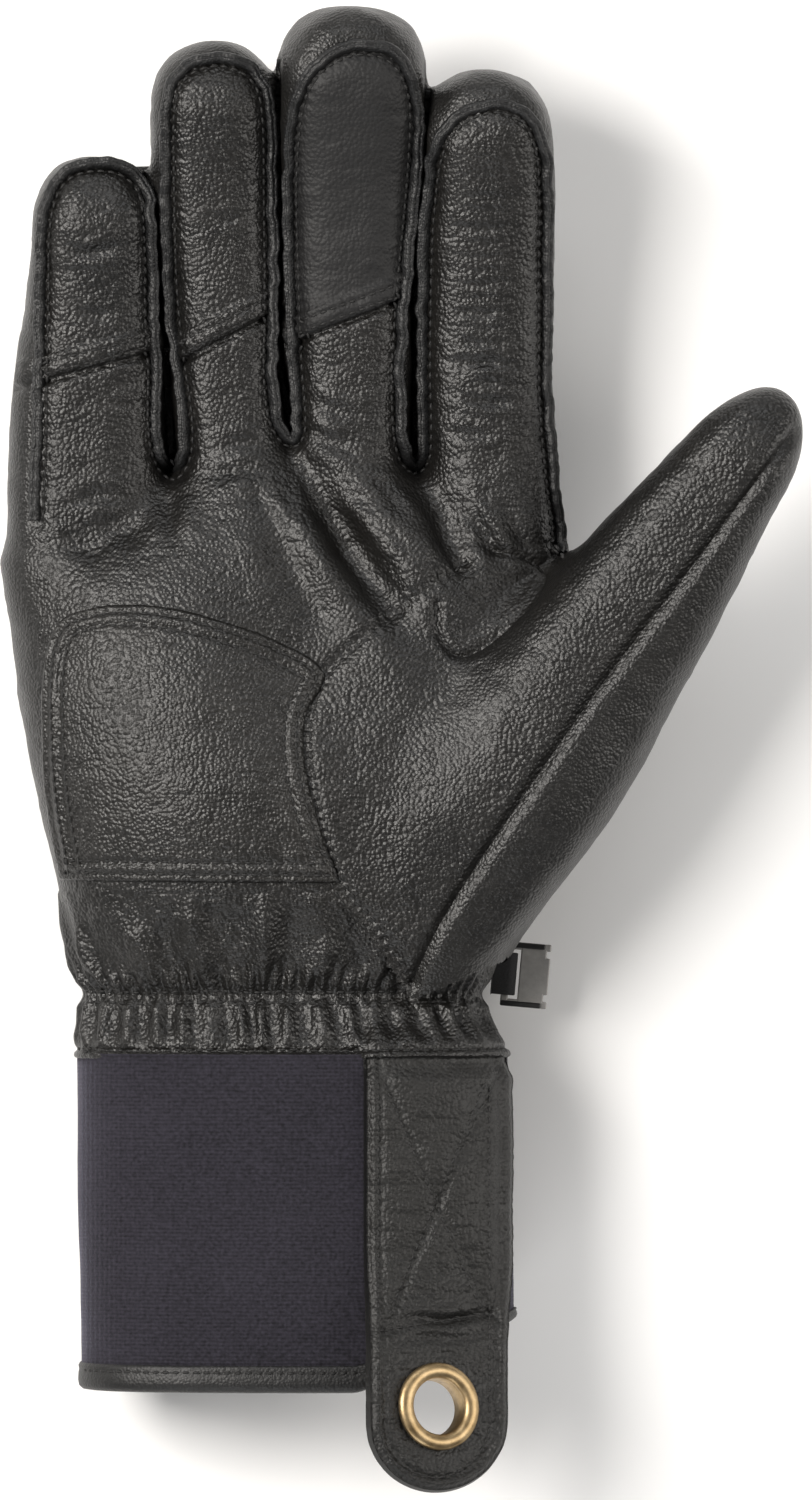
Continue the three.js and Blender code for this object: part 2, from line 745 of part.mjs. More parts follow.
// Leather binding folded over the mouth of the cuff.
function cuffBinding() {
  const top = 1 - bindingHeight / cuffLength;
  const fold = 1 - bindingWall / cuffLength;
  const far = cuffWall + seamGap;
  return hoop(
    ringOf(facets.palm.ring, (angle) => [
      cuffPoint(1, angle, far + bindingWall * bindingRound),
      cuffPoint(1, angle, -seamGap - bindingWall * bindingRound),
      cuffPoint(top, angle, -seamGap - bindingWall),
      cuffPoint(top, angle, -seamGap),
      cuffPoint(fold, angle, -seamGap),
      cuffPoint(fold, angle, far),
      cuffPoint(top, angle, far),
      cuffPoint(top, angle, far + bindingWall),
    ]),
  );
}

// Height of the underside of the pull tab: first on the cuff, then straight and
// tilted towards the thumb, with its free end lifted.
function tabUnderside(x, y) {
  const section = bodySection(cuffRows, cuffWidth, cuffDepth, -y / cuffLength, -clearance);
  const u = Math.min(Math.abs(x - section.x) / section.halfWidth, tabRound);
  const onCuff = section.z + section.halfDepth * (1 - u ** palmSquareness) ** (1 / palmSquareness);
  const bend = tabBends * cuffLength;
  const tilt = Math.tan(THREE.MathUtils.degToRad(tabTilt));
  const lift = Math.tan(THREE.MathUtils.degToRad(tabLift));
  const free = tabHeight - tilt * (x - tabOffset) + lift * (-y - bend);
  return THREE.MathUtils.lerp(onCuff, free, smoothstep((-y / cuffLength - tabParts) / (tabFree - tabParts)));
}

const eyeletY = -(tabLength + 1 - eyeletInset);

function eyeletPlace(object) {
  object.rotation.set(-THREE.MathUtils.degToRad(tabLift), THREE.MathUtils.degToRad(tabTilt), 0);
  object.updateMatrix();
  const steepness = object.matrix.elements[10];
  const aboveUnderside = (clearance + tabThickness / 2) / steepness;
  object.position.set(tabOffset, eyeletY, tabUnderside(tabOffset, eyeletY) + aboveUnderside);
  object.updateMatrix();
  return object.matrix;
}

function pullTab() {
  const columns = 5;
  const startY = -1;
  const endY = startY - tabLength;
  const round = tabWidth / 2;
  const straight = [0, 0.25, 0.45, 0.54, 0.63, 0.72, 0.81, 1];
  const stations = [
    ...straight.map((share) => [startY + (endY + round - startY) * share, 1]),
    ...[25, 48, 66, 80].map((degrees) => {
      const angle = THREE.MathUtils.degToRad(degrees);
      return [endY + round - round * Math.sin(angle), Math.cos(angle)];
    }),
  ];
  const rings = stations.reverse().map(([y, roundness]) => {
    const under = [];
    const over = [];
    for (let i = 0; i <= columns; i++) {
      const x = tabOffset + round * roundness * ((2 * i) / columns - 1);
      const z = tabUnderside(x, y);
      const slope = (tabUnderside(x + 0.2, y) - tabUnderside(x - 0.2, y)) / 0.4;
      const out = new THREE.Vector3(-slope, 0, 1).normalize();
      const skin = new THREE.Vector3(x, y, z).addScaledVector(out, clearance);
      under.push(skin);
      over.push(skin.clone().addScaledVector(out, tabThickness));
    }
    return [...over.reverse(), ...under];
  });
  const hole = new THREE.CylinderGeometry(
    eyeletHoleRadius + eyeletBarrelWall + clearance,
    eyeletHoleRadius + eyeletBarrelWall + clearance,
    6 * tabThickness, roundFacets,
  );
  hole.rotateX(Math.PI / 2);
  hole.applyMatrix4(eyeletPlace(new THREE.Object3D()));
  return biggest(tube(rings).subtract(solid(welded(hole))));
}

// Rolled brass eyelet through the tab.
function eyelet() {
  const face = tabThickness / 2 + clearance;
  const barrel = eyeletHoleRadius + eyeletBarrelWall;
  const rollRadius = (eyeletHoleRadius + eyeletOuterRadius) / 2;
  const half = (eyeletOuterRadius - eyeletHoleRadius) / 2;
  const roll = [0, 36, 72, 108, 144, 180].map((degrees) => {
    const angle = THREE.MathUtils.degToRad(degrees);
    const height = face + eyeletLip + (eyeletRoll - eyeletLip) * Math.sin(angle);
    return new THREE.Vector2(rollRadius + half * Math.cos(angle), height);
  });
  const flangeRadius = eyeletOuterRadius - eyeletFlange;
  const profile = [
    new THREE.Vector2(eyeletHoleRadius, -face - eyeletFlange),
    new THREE.Vector2(flangeRadius, -face - eyeletFlange),
    new THREE.Vector2(flangeRadius, -face),
    new THREE.Vector2(barrel, -face),
    new THREE.Vector2(barrel, face),
    new THREE.Vector2(eyeletOuterRadius, face),
    ...roll,
    new THREE.Vector2(eyeletHoleRadius, -face - eyeletFlange),
  ];
  return solid(welded(new THREE.LatheGeometry(profile, roundFacets).rotateX(Math.PI / 2)));
}

function box(from, to) {
  const size = to.map((v, i) => v - from[i]);
  const middle = to.map((v, i) => (v + from[i]) / 2);
  return solid(welded(new THREE.BoxGeometry(...size).translate(...middle)));
}

// Flat hook plate with a slotted bar end, raised rails and notched corners.
function clipPlate() {
  const half = clipWidth / 2;
  const slotStart = clipBarWidth;
  const slotEnd = clipBarWidth + clipSlotWidth;
  const notched = clipLength - clipNotchDepth;
  const notch = [[clipLength, 0], [clipLength, 1], [notched, 1], [notched, 2], [clipLength, 2]];
  const notchAt = (side) => notch.map(([x, steps]) => [x, side * (half - steps * clipNotch)]);
  const outline = [[0, -half], ...notchAt(-1), ...notchAt(1).reverse(), [0, half]];
  const slotHalf = webbingWidth / 2 + 2 * clearance;
  const slot = box([slotStart, -slotHalf, -1], [slotEnd, slotHalf, clipThickness + 1]);
  const rail = (y) =>
    box([0, y, clipThickness / 2], [clipRailLength, y + clipRailWidth, clipThickness + clipRailHeight]);
  return block(outline, 0, clipThickness).add(rail(-half)).add(rail(half - clipRailWidth)).subtract(slot);
}

// Webbing that leaves the wrist, goes round the bar of the clip and comes back.
function clipLoop() {
  const inner = clearance;
  const outer = clearance + webbingThickness;
  const back = -webbingReach;
  const half = webbingWidth / 2;
  const bend = clipBarWidth;
  const strap = box([back, -half, -outer], [bend + outer, half, clipThickness + outer]);
  return strap.subtract(box([back - 1, -half - 1, -inner], [bend + inner, half + 1, clipThickness + inner]));
}

const leather = { color: "#2c2b2a", roughness: 0.5, metalness: 0 };
const backLeather = { color: "#353433", roughness: 0.52, metalness: 0 };
const looks = {
  palm_panel: leather,
  pinky_tip_front: leather,
  ring_tip_front: leather,
  middle_tip_front: leather,
  thumb_front: leather,
  thumb_outer: backLeather,
  thumb_gusset: leather,
  fourchette_pinky_ring: backLeather,
  fourchette_ring_middle: backLeather,
  fourchette_middle_index: backLeather,
  back_panel: backLeather,
  heel_patch: { color: "#333231", roughness: 0.45, metalness: 0 },
  wrist_gather: leather,
  cuff: { color: "#28262c", roughness: 0.95, metalness: 0 },
  cuff_binding: { color: "#1f1e1f", roughness: 0.45, metalness: 0 },
  pull_tab: { color: "#2b2a27", roughness: 0.6, metalness: 0 },
  eyelet: { color: "#ab8f5c", roughness: 0.35, metalness: 1 },
  clip_plate: { color: "#777672", roughness: 0.45, metalness: 0.6 },
  clip_loop: { color: "#161617", roughness: 0.9, metalness: 0 },
};

function meshOf(name, body) {
  const { vertProperties, triVerts } = body.getMesh();
  const geometry = new THREE.BufferGeometry();
  geometry.setAttribute("position", new THREE.BufferAttribute(new Float32Array(vertProperties), 3));
  geometry.setIndex(new THREE.BufferAttribute(new Uint32Array(triVerts), 1));
  const mesh = new THREE.Mesh(geometry, new THREE.MeshStandardMaterial(looks[name]));
  mesh.name = name;
  return mesh;
}

const bodies = {
  ...handPanels(),
  heel_patch: heelPatch(),
  wrist_gather: wristGather(),
  cuff: cuff(),
  cuff_binding: cuffBinding(),
  pull_tab: pullTab(),
};
const glove = new THREE.Group();
for (const [name, body] of Object.entries(bodies)) {
  glove.add(meshOf(name, body));
}

const ring = meshOf("eyelet", eyelet());
eyeletPlace(ring);
glove.add(ring);

// The clip hangs off the thumb side of the wrist, just clear of its gathers.
const clip = new THREE.Group();
const clipY = clipAlong * handLength;
const wristAtClip = bodySection(palmRows, handWidth, handDepth, clipY / handLength, 0);
clip.position.set(wristAtClip.x + wristAtClip.halfWidth + gatherDepth, clipY, clipHeight);
clip.rotation.z = THREE.MathUtils.degToRad(clipTurn);
clip.add(meshOf("clip_plate", clipPlate()), meshOf("clip_loop", clipLoop()));
glove.add(clip);

// The origin is the middle of the base.
glove.updateMatrixWorld(true);
const bounds = new THREE.Box3().setFromObject(glove);
const middleOfBase = bounds.getCenter(new THREE.Vector3()).setZ(bounds.min.z);
const part = new THREE.Group();
glove.position.copy(middleOfBase.negate());
part.add(glove);

export default part;
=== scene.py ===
"""Right-hand leather ski glove, palm up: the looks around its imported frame.

Shapes are worked out in millimetres in the glove's own axes, x from the little finger to
the thumb, y from the wrist hem to the fingertips, z up from the surface. They go into the
frame through to_frame().
"""

import math

import bpy
import numpy as np
import openvdb
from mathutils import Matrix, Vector
from mathutils.bvhtree import BVHTree


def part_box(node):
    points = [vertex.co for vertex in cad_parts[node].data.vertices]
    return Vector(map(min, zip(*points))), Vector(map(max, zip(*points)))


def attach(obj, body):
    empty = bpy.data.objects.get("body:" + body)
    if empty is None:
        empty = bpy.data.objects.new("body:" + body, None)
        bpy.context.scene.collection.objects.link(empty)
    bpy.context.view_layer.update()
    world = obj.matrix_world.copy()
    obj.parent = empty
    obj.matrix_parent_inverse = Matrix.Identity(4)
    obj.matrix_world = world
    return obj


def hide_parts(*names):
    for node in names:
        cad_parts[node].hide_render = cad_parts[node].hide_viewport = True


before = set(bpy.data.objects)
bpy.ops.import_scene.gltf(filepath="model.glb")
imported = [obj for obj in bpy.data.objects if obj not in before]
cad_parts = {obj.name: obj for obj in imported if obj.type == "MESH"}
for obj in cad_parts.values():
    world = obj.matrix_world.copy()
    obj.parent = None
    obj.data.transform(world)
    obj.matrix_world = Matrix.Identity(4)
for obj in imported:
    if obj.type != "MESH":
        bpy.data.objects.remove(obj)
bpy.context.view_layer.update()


def rows(names, *values):
    """A table sorted by its first column, as a dict of its named columns."""
    return dict(zip(names.split(), np.array(values, float).T))


# Sizes of the glove, as in the source of its frame.
HAND_WIDTH = 112
HAND_LENGTH = 125
HAND_DEPTH = 50
LEATHER_WALL = 2.0
FINGER_DEPTH = 29
FINGERTIP_LENGTH = 12.5
CUFF_LENGTH = 66
CUFF_WIDTH = 87
CUFF_DEPTH = 46
CUFF_WALL = 3
CLEARANCE = 0.35
MOUTH_RISE = 13
PALM_SQUARENESS = 2.5
DIGIT_SQUARENESS = 2.9

PALM_ROWS = rows(
    "at left right floor top",
    (-0.04, -0.386, 0.39, 0.03, 0.9),
    (0, -0.386, 0.387, 0.03, 0.9),
    (0.096, -0.385, 0.36, 0.04, 0.86),
    (0.19, -0.399, 0.375, 0.01, 0.91),
    (0.28, -0.416, 0.397, -0.015, 0.97),
    (0.43, -0.453, 0.43, -0.02, 1),
    (0.575, -0.485, 0.464, -0.02, 0.98),
    (0.7, -0.503, 0.482, -0.01, 0.93),
    (0.81, -0.511, 0.491, 0.03, 0.86),
    (0.9, -0.5, 0.487, 0.07, 0.79),
    (1, -0.44, 0.43, 0.2, 0.66),
)
PALM_DENTS = (
    dict(across=0.03, along=0.64, wide=0.13, long=0.16, turn=0, depth=0.07),
    dict(across=0.1, along=0.86, wide=0.04, long=0.2, turn=-32, depth=0.07),
    dict(across=0.2, along=0.9, wide=0.07, long=0.2, turn=-32, depth=-0.03),
    dict(across=-0.22, along=0.5, wide=0.17, long=0.18, turn=0, depth=-0.025),
)
FINGER_PROFILE = rows(
    "at curl deep", (-0.14, -0.01, 0.86), (0, 0, 1), (0.35, 0.1, 0.98), (0.7, 0.45, 0.92), (1, 1, 0.86)
)
THUMB_PROFILE = rows(
    "at curl deep",
    (-0.1, 0, 0.6), (-0.03, 0, 0.88), (0.06, 0.01, 1.04), (0.2, 0.05, 1.15),
    (0.335, 0.16, 1.15), (0.59, 0.4, 1), (0.81, 0.72, 0.82), (1, 1, 0.74),
)


def digit(reach, width, across, rise, splay, along=0.812, height=0.44, depth=FINGER_DEPTH,
          tip=FINGERTIP_LENGTH, profile=FINGER_PROFILE, blend=4, sections=()):
    """A finger or thumb: reach, width, depth, tip and blend in millimetres, its root and rise as
    shares of the hand, its splay in degrees and its sections along the reach."""
    return dict(
        reach=reach, width=width, depth=depth, tip=tip, across=across, along=along, height=height, rise=rise,
        splay=math.radians(splay), profile=profile, blend=blend, sections=rows("at wide side", *sections),
    )


DIGITS = {
    "pinky": digit(79.6, 26, -0.37, 0.25, 2.3, sections=(
        (-0.14, 1, 0.02), (0, 1.15, 0), (0.2, 1.22, 0), (0.42, 1.175, 0), (0.62, 1.06, 0),
        (0.8, 0.965, 0), (1, 0.93, 0))),
    "ring": digit(102.7, 25, -0.089, 0.3, -3.35, sections=(
        (-0.14, 0.8, 0), (0, 0.9, 0), (0.3, 0.91, 0), (0.5, 0.94, 0), (0.8, 1, -0.03), (1, 0.98, 0.04))),
    "middle": digit(109, 29, 0.109, 0.44, 0, sections=(
        (-0.14, 0.75, 0), (0, 0.84, 0), (0.28, 0.84, 0), (0.4, 0.9, 0), (0.7, 0.96, 0.005),
        (0.85, 1.01, 0.01), (1, 1, 0))),
    "index": digit(96.3, 27, 0.354, 0.37, 0, sections=(
        (-0.14, 0.9, 0), (0, 1.04, 0.01), (0.2, 1.01, 0.02), (0.36, 0.985, -0.008),
        (0.67, 1, -0.005), (0.83, 0.97, 0.01), (1, 0.95, -0.04))),
    "thumb": digit(130.8, 40, 0.214, 0.3, 35.1, along=0.208, height=0.64, depth=30, tip=17,
                   profile=THUMB_PROFILE, blend=7, sections=(
        (-0.1, 0.5, 0), (-0.03, 0.78, 0), (0.08, 0.915, 0), (0.214, 1, 0), (0.348, 0.99, 0),
        (0.481, 0.915, 0), (0.616, 0.8, 0), (0.742, 0.69, 0), (0.869, 0.56, 0), (1, 0.5, 0))),
}

# Cuff sections from the hem to the mouth, as shares of its width and depth.
CUFF_ROWS = rows(
    "at left right floor top", (0, -0.491, 0.5, 0.035, 1), (0.45, -0.489, 0.515, 0.035, 1.02),
    (1, -0.48, 0.518, 0.035, 1.03),
)

# Seam lines seen from the palm, as shares of hand width and hand length.
SIDE_SEAM = ((-0.42, 0.24), (-0.421, 0.31), (-0.444, 0.405), (-0.453, 0.5), (-0.451, 0.62),
             (-0.446, 0.79), (-0.442, 0.88), (-0.447, 0.95))
INDEX_SEAM = ((0.472, 0.83), (0.455, 0.792))
THENAR_SEAM = ((0.319, 0.8), (0.194, 0.72), (0.069, 0.624), (0.035, 0.55), (0.033, 0.48),
               (0.06, 0.368), (0.096, 0.275), (0.158, 0.208), (0.22, 0.12))
THUMB_SEAM = ((0.22, 0.12), (0.265, 0.208), (0.372, 0.36), (0.551, 0.592), (0.729, 0.8),
              (0.863, 0.957), (0.9, 1.0))
GUSSET_OUTLINE = ((0.266, 0.73), (0.268, 0.68), (0.3, 0.648), (0.34, 0.66), (0.4, 0.705),
                  (0.45, 0.76), (0.452, 0.79), (0.37, 0.815), (0.32, 0.812), (0.285, 0.78))
HEEL_PATCH_OUTLINE = (
    (-0.405, 0.288), (0.088, 0.284), (0.058, 0.368), (0.03, 0.47), (0.03, 0.55), (0.062, 0.62),
    (-0.03, 0.672), (-0.11, 0.698), (-0.2, 0.72), (-0.28, 0.727), (-0.35, 0.722), (-0.41, 0.7),
    (-0.435, 0.64), (-0.437, 0.5), (-0.428, 0.4))
WRIST_LINE = (
    (-1.1, 0.275), (0.09, 0.275), (0.158, 0.2), (0.22, 0.12), (0.31, 0.152), (0.4, 0.19), (1.1, 0.19))
BACK_WRIST_LINE = ((-1.1, 0.275), (0.22, 0.275), (0.3, 0.2), (0.36, 0.18), (1.1, 0.18))
CROSS_SEAMS = {"pinky": (0.41, 0.52), "ring": (0.375, 0.47), "middle": (0.385, 0.475)}

# Crotches between neighbouring fingers: the line of the slit as (y, x) in millimetres. The
# fingers touch below the slit, which starts SLIT_BELOW under the middle of their height.
SLITS = {
    ("pinky", "ring"): rows(
        "y x", (118, -23.3), (126, -24), (135, -24.7), (151, -24.8), (163, -25.6), (170, -27.4),
        (175, -29), (181, -31), (190, -34)),
    ("ring", "middle"): rows(
        "y x", (125, 1), (132, -0.6), (141, -2.2), (151, -2.3), (166, -2.3), (195, -2.1)),
    ("middle", "index"): rows(
        "y x", (118.5, 25.2), (135, 25.3), (151, 25.4), (166, 25.9), (181, 26.5), (193, 27.8)),
}
SLIT_HALF = 0.9
SLIT_BELOW = 2
TOUCHING = 4.5

# How the palm body ends: its last share of the length, and how round its end and the digits' roots are.
PALM_END = 0.985
PALM_END_ROUND = 5
DIGIT_ROOT_ROUND = 3
# The arch of the knuckles, as shares of the hand's width and length.
ARCH = dict(crown=0.01, half=0.215, drop=0.052, deepest=0.14, start=0.74, run=0.26)
ARCH_ROUNDS = 14

# The grid that the skin is taken from, in millimetres.
VOXEL = 1.0
SKIN_LOW = np.array([-62.0, 8, -2.4])
SKIN_HIGH = np.array([107.0, 214, 64])
SLAB = 16
FAR = 9.0
TALLEST = 64

# Steps along lines: of smooth curves before they are evened out, and of stitched seams.
CURVE_STEP = 0.2
SEAM_STEP = 0.7
STITCH_STEP = 2.1

# Whole numbers that scramble the cells of the noise.
NOISE_PRIMES = np.array([374761393, 668265263, 2147483647])
NOISE_SEED = 1274126177
NOISE_MIX = 1103515245


def column(table, name, at):
    """Smooth value of a named column."""
    places, values = table["at"], table[name]
    last = len(places) - 1
    k = np.arange(last + 1)
    before, after = np.maximum(k - 1, 0), np.minimum(k + 1, last)
    slope = (values[after] - values[before]) / (places[after] - places[before])
    x = np.clip(at, places[0], places[-1])
    i = np.clip(np.searchsorted(places, x, side="right") - 1, 0, last - 1)
    span = places[i + 1] - places[i]
    t = (x - places[i]) / span
    ease = t * t * (3 - 2 * t)
    pull = t * (1 - t) * span * ((1 - t) * slope[i] - t * slope[i + 1])
    return values[i] * (1 - ease) + values[i + 1] * ease + pull


def smoothstep(x):
    t = np.clip(x, 0, 1)
    return t * t * (3 - 2 * t)


def in_plan(shares):
    """Millimetres in plan from shares of the hand."""
    return np.array(shares) * (HAND_WIDTH, HAND_LENGTH)


def travelled(points):
    """How far along a line each of its points lies."""
    return np.concatenate([[0], np.cumsum(np.linalg.norm(np.diff(points, axis=0), axis=1))])


def closed_line(points):
    return np.vstack([points, points[:1]])


def at_lengths(at, length, points):
    """Places on a line, in as many directions as it has, at distances along it."""
    return np.stack([np.interp(at, length, points[:, k]) for k in range(points.shape[1])], -1)


def curve(points, step=1.0, closed=False):
    """Points at even steps along a smooth line through the given points, 2-D or 3-D."""
    p = np.asarray(points, float)
    if closed:
        p = closed_line(p)
    knots = travelled(p)
    fine = np.linspace(0, knots[-1], max(int(knots[-1] / CURVE_STEP), 8))
    dense = np.stack([column({"at": knots, "v": p[:, k]}, "v", fine) for k in range(p.shape[1])], 1)
    return even(dense, step)


def even(points, step=SEAM_STEP):
    """The same line with points at even steps."""
    length = travelled(points)
    count = max(int(round(length[-1] / step)), 2)
    return at_lengths(np.linspace(0, length[-1], count + 1), length, points)


def seeded_noise(points, scale, seed):
    """Smooth noise from -1 to 1 at points, with features about scale wide."""
    q = np.asarray(points, float) / scale
    cell = np.floor(q).astype(np.int64)
    t = q - cell
    t = t * t * t * (t * (6 * t - 15) + 10)
    total = 0
    dims = q.shape[1]
    for corner in range(2**dims):
        bits = np.array([(corner >> k) & 1 for k in range(dims)])
        weight = np.prod(np.where(bits, t, 1 - t), axis=1)
        key = (cell + bits) @ NOISE_PRIMES[:dims] + seed * NOISE_SEED
        key = (key ^ (key >> 13)) * NOISE_MIX & 0x7FFFFFFF
        key = (key ^ (key >> 15)) * NOISE_PRIMES[1] & 0x7FFFFFFF
        total = total + weight * (key / 0x3FFFFFFF - 1)
    return total


def layers(points, *terms):
    """Sum of layers of noise, each given by its height, feature size and seed."""
    return sum(height * seeded_noise(points, scale, seed) for height, scale, seed in terms)


def bell(x, middle, width):
    """1 at the middle, falling away smoothly over about a width on either side."""
    return np.exp(-(((x - middle) / width) ** 2))


# Fields of the hand.


def palm_dent(x, y):
    total = 0
    for dent in PALM_DENTS:
        turn = math.radians(dent["turn"])
        u = x - dent["across"] * HAND_WIDTH
        v = y - dent["along"] * HAND_LENGTH
        across = (u * math.cos(turn) - v * math.sin(turn)) / (dent["wide"] * HAND_WIDTH)
        along = (u * math.sin(turn) + v * math.cos(turn)) / (dent["long"] * HAND_LENGTH)
        total = total + dent["depth"] * HAND_DEPTH * np.exp(-across * across - along * along)
    return total


def knuckle_arch(x, at):
    """How far the row of knuckles falls back beside its crown."""
    from_crown = (x / HAND_WIDTH - ARCH["crown"]) / ARCH["half"]
    drop = np.minimum(ARCH["drop"] * from_crown**2, ARCH["deepest"]) * HAND_LENGTH
    return drop * smoothstep((at - ARCH["start"]) / ARCH["run"])


def body_section(table, width, depth, at, inset):
    """Middles and half sizes, across and up, of the sections of a flattened tube."""
    left = column(table, "left", at) * width + inset
    right = column(table, "right", at) * width - inset
    floor = column(table, "floor", at) * depth + inset
    top = column(table, "top", at) * depth - inset
    return (left + right) / 2, (floor + top) / 2, (right - left) / 2, (top - floor) / 2


def rounded(across, up, squareness):
    """1 on a section between an ellipse and a box of half size 1, and less inside it."""
    return (np.abs(across) ** squareness + np.abs(up) ** squareness) ** (1 / squareness)


def palm_field(x, y, z):
    """Below zero inside the palm body, about the distance in millimetres near its skin."""
    at = y / HAND_LENGTH
    for _ in range(ARCH_ROUNDS):
        at = (at + (y + knuckle_arch(x, at)) / HAND_LENGTH) / 2
    middle_x, middle_z, half_width, half_depth = body_section(PALM_ROWS, HAND_WIDTH, HAND_DEPTH, at, 0)
    up = (z - middle_z) / np.where(z > middle_z, half_depth - palm_dent(x, y), half_depth)
    skin = (rounded((x - middle_x) / half_width, up, PALM_SQUARENESS) - 1) * half_depth
    return smooth_max(skin, (at - PALM_END) * HAND_LENGTH, PALM_END_ROUND)


def smooth_min(a, b, k):
    near = np.maximum(k - np.abs(a - b), 0) / k
    return np.minimum(a, b) - near * near * k / 4


def smooth_max(a, b, k):
    return -smooth_min(-a, -b, k)


def digit_centre(d, at):
    side = column(d["sections"], "side", at) * d["width"]
    along = d["reach"] * at
    cos, sin = math.cos(d["splay"]), math.sin(d["splay"])
    return np.stack([
        d["across"] * HAND_WIDTH + along * sin + side * cos,
        d["along"] * HAND_LENGTH + along * cos - side * sin,
        (d["height"] + d["rise"] * column(d["profile"], "curl", at)) * HAND_DEPTH,
    ], -1)


def digit_sections(d, at):
    """Centres, right and up directions and half sizes of sections across a digit."""
    step = 0.04
    forward = digit_centre(d, at + step) - digit_centre(d, at - step)
    forward /= np.linalg.norm(forward, axis=-1, keepdims=True)
    right = np.cross(forward, (0.0, 0.0, 1.0))
    right /= np.linalg.norm(right, axis=-1, keepdims=True)
    up = np.cross(right, forward)
    half_width = column(d["sections"], "wide", at) * d["width"] / 2
    half_depth = column(d["profile"], "deep", at) * d["depth"] / 2
    return digit_centre(d, at), forward, right, up, half_width, half_depth


def digit_place(d, x, y, z):
    """Share of the reach and place across and up of points beside a digit, with its half sizes."""
    if "lookup" not in d:
        share = np.linspace(-0.3, 1.3, 321)
        parts = digit_sections(d, share)
        d["lookup"] = share, np.concatenate([v.reshape(len(share), -1) for v in parts], 1)
    share, table = d["lookup"]
    cos, sin = math.cos(d["splay"]), math.sin(d["splay"])
    at = ((x - d["across"] * HAND_WIDTH) * sin + (y - d["along"] * HAND_LENGTH) * cos) / d["reach"]

    def value(k):
        return np.interp(at, share, table[:, k])

    # The columns are three each for centre, forward, right and up, then the two half sizes.
    def along_axis(k):
        return (x - value(0)) * value(k) + (y - value(1)) * value(k + 1) + (z - value(2)) * value(k + 2)

    for _ in range(2):
        at = at + along_axis(3) / d["reach"]
    return at, along_axis(6), along_axis(9), value(12), value(13)


def digit_field(d, x, y, z):
    """Below zero inside a digit, which ends in a dome."""
    at, across, up, half_width, half_depth = digit_place(d, x, y, z)
    norm = rounded(across / half_width, up / half_depth, DIGIT_SQUARENESS)
    dome = 1 - d["tip"] / d["reach"]
    over = np.maximum((at - dome) / (1 - dome), 0)
    skin = (np.sqrt(norm**2 + over**2) - 1) * np.minimum(half_width, half_depth)
    start = d["profile"]["at"][0]
    return smooth_max(skin, (start - at) * d["reach"], DIGIT_ROOT_ROUND)


def slit_field(x, y, z):
    """Above zero inside the slits between the fingers, which touch in the lower half of their depth."""
    result = np.full(np.broadcast(x, y).shape, -FAR)
    share = np.linspace(0, 1, 30)
    for names, line in SLITS.items():
        middle = np.interp(y, line["y"], line["x"])
        centres_of_both = [digit_centre(DIGITS[name], share) for name in names]
        height = sum(np.interp(y, c[:, 1], c[:, 2]) for c in centres_of_both) / 2
        beside = SLIT_HALF - np.abs(x - middle)
        result = np.maximum(result, np.minimum(np.minimum(beside, y - line["y"][0]), z - height + SLIT_BELOW))
    return result


def whole_field(x, y, z):
    """Below zero inside the palm and its digits, before the slits are cut."""
    palm = palm_field(x, y, z)
    digits = {name: digit_field(d, x, y, z) for name, d in DIGITS.items()}
    result = palm
    for name, skin_distance in digits.items():
        result = np.minimum(result, smooth_min(palm, skin_distance, DIGITS[name]["blend"]))
    for left, right in SLITS:
        result = np.minimum(result, smooth_min(digits[left], digits[right], TOUCHING))
    return np.maximum(result, -z)


def hand_field(x, y, z):
    return np.maximum(whole_field(x, y, z), slit_field(x, y, z))


def gradient(field, p, step):
    """Directions in which a field rises at points, not yet of length 1."""
    return np.stack([field(*(p + step * axis).T) - field(*(p - step * axis).T) for axis in np.eye(3)], 1)


def unit(v):
    return v / np.maximum(np.linalg.norm(v, axis=-1, keepdims=True), 1e-9)


def whole_top(plan_points):
    """Places and upward directions on the top of the uncut hand at plan points."""
    step = VOXEL / 4
    heights = np.arange(0, TALLEST, step)
    x, y = (np.repeat(plan_points[:, k, None], len(heights), 1) for k in range(2))
    field = whole_field(x, y, np.broadcast_to(heights, x.shape))
    below = (field < 0) * np.arange(1, len(heights) + 1)
    k = np.clip(below.max(1) - 1, 0, len(heights) - 2)
    row = np.arange(len(k))
    low, high = field[row, k], field[row, k + 1]
    places = np.column_stack([plan_points, heights[k] + step * np.clip(low / (low - high), 0, 1)])
    return places, gradient(whole_field, places, 0.5)


def hand_normal(p):
    """Outward directions at points on the skin."""
    return unit(gradient(hand_field, p, 0.35))


def hand_skin():
    """Points and quads of the outside of the palm and its five digits."""
    count = np.ceil((SKIN_HIGH - SKIN_LOW) / VOXEL).astype(int)
    axes = [SKIN_LOW[k] + VOXEL * np.arange(count[k]) for k in range(3)]
    field = np.empty(count, np.float32)
    for i in range(0, count[0], SLAB):
        x, y, z = np.meshgrid(axes[0][i:i + SLAB], axes[1], axes[2], indexing="ij")
        field[i:i + SLAB] = hand_field(x, y, z)
    grid = openvdb.FloatGrid(FAR)
    grid.copyFromArray(field)
    points, quads = grid.convertToQuads(0.0)
    return points * VOXEL + SKIN_LOW, quads


# Lines on the palm side.

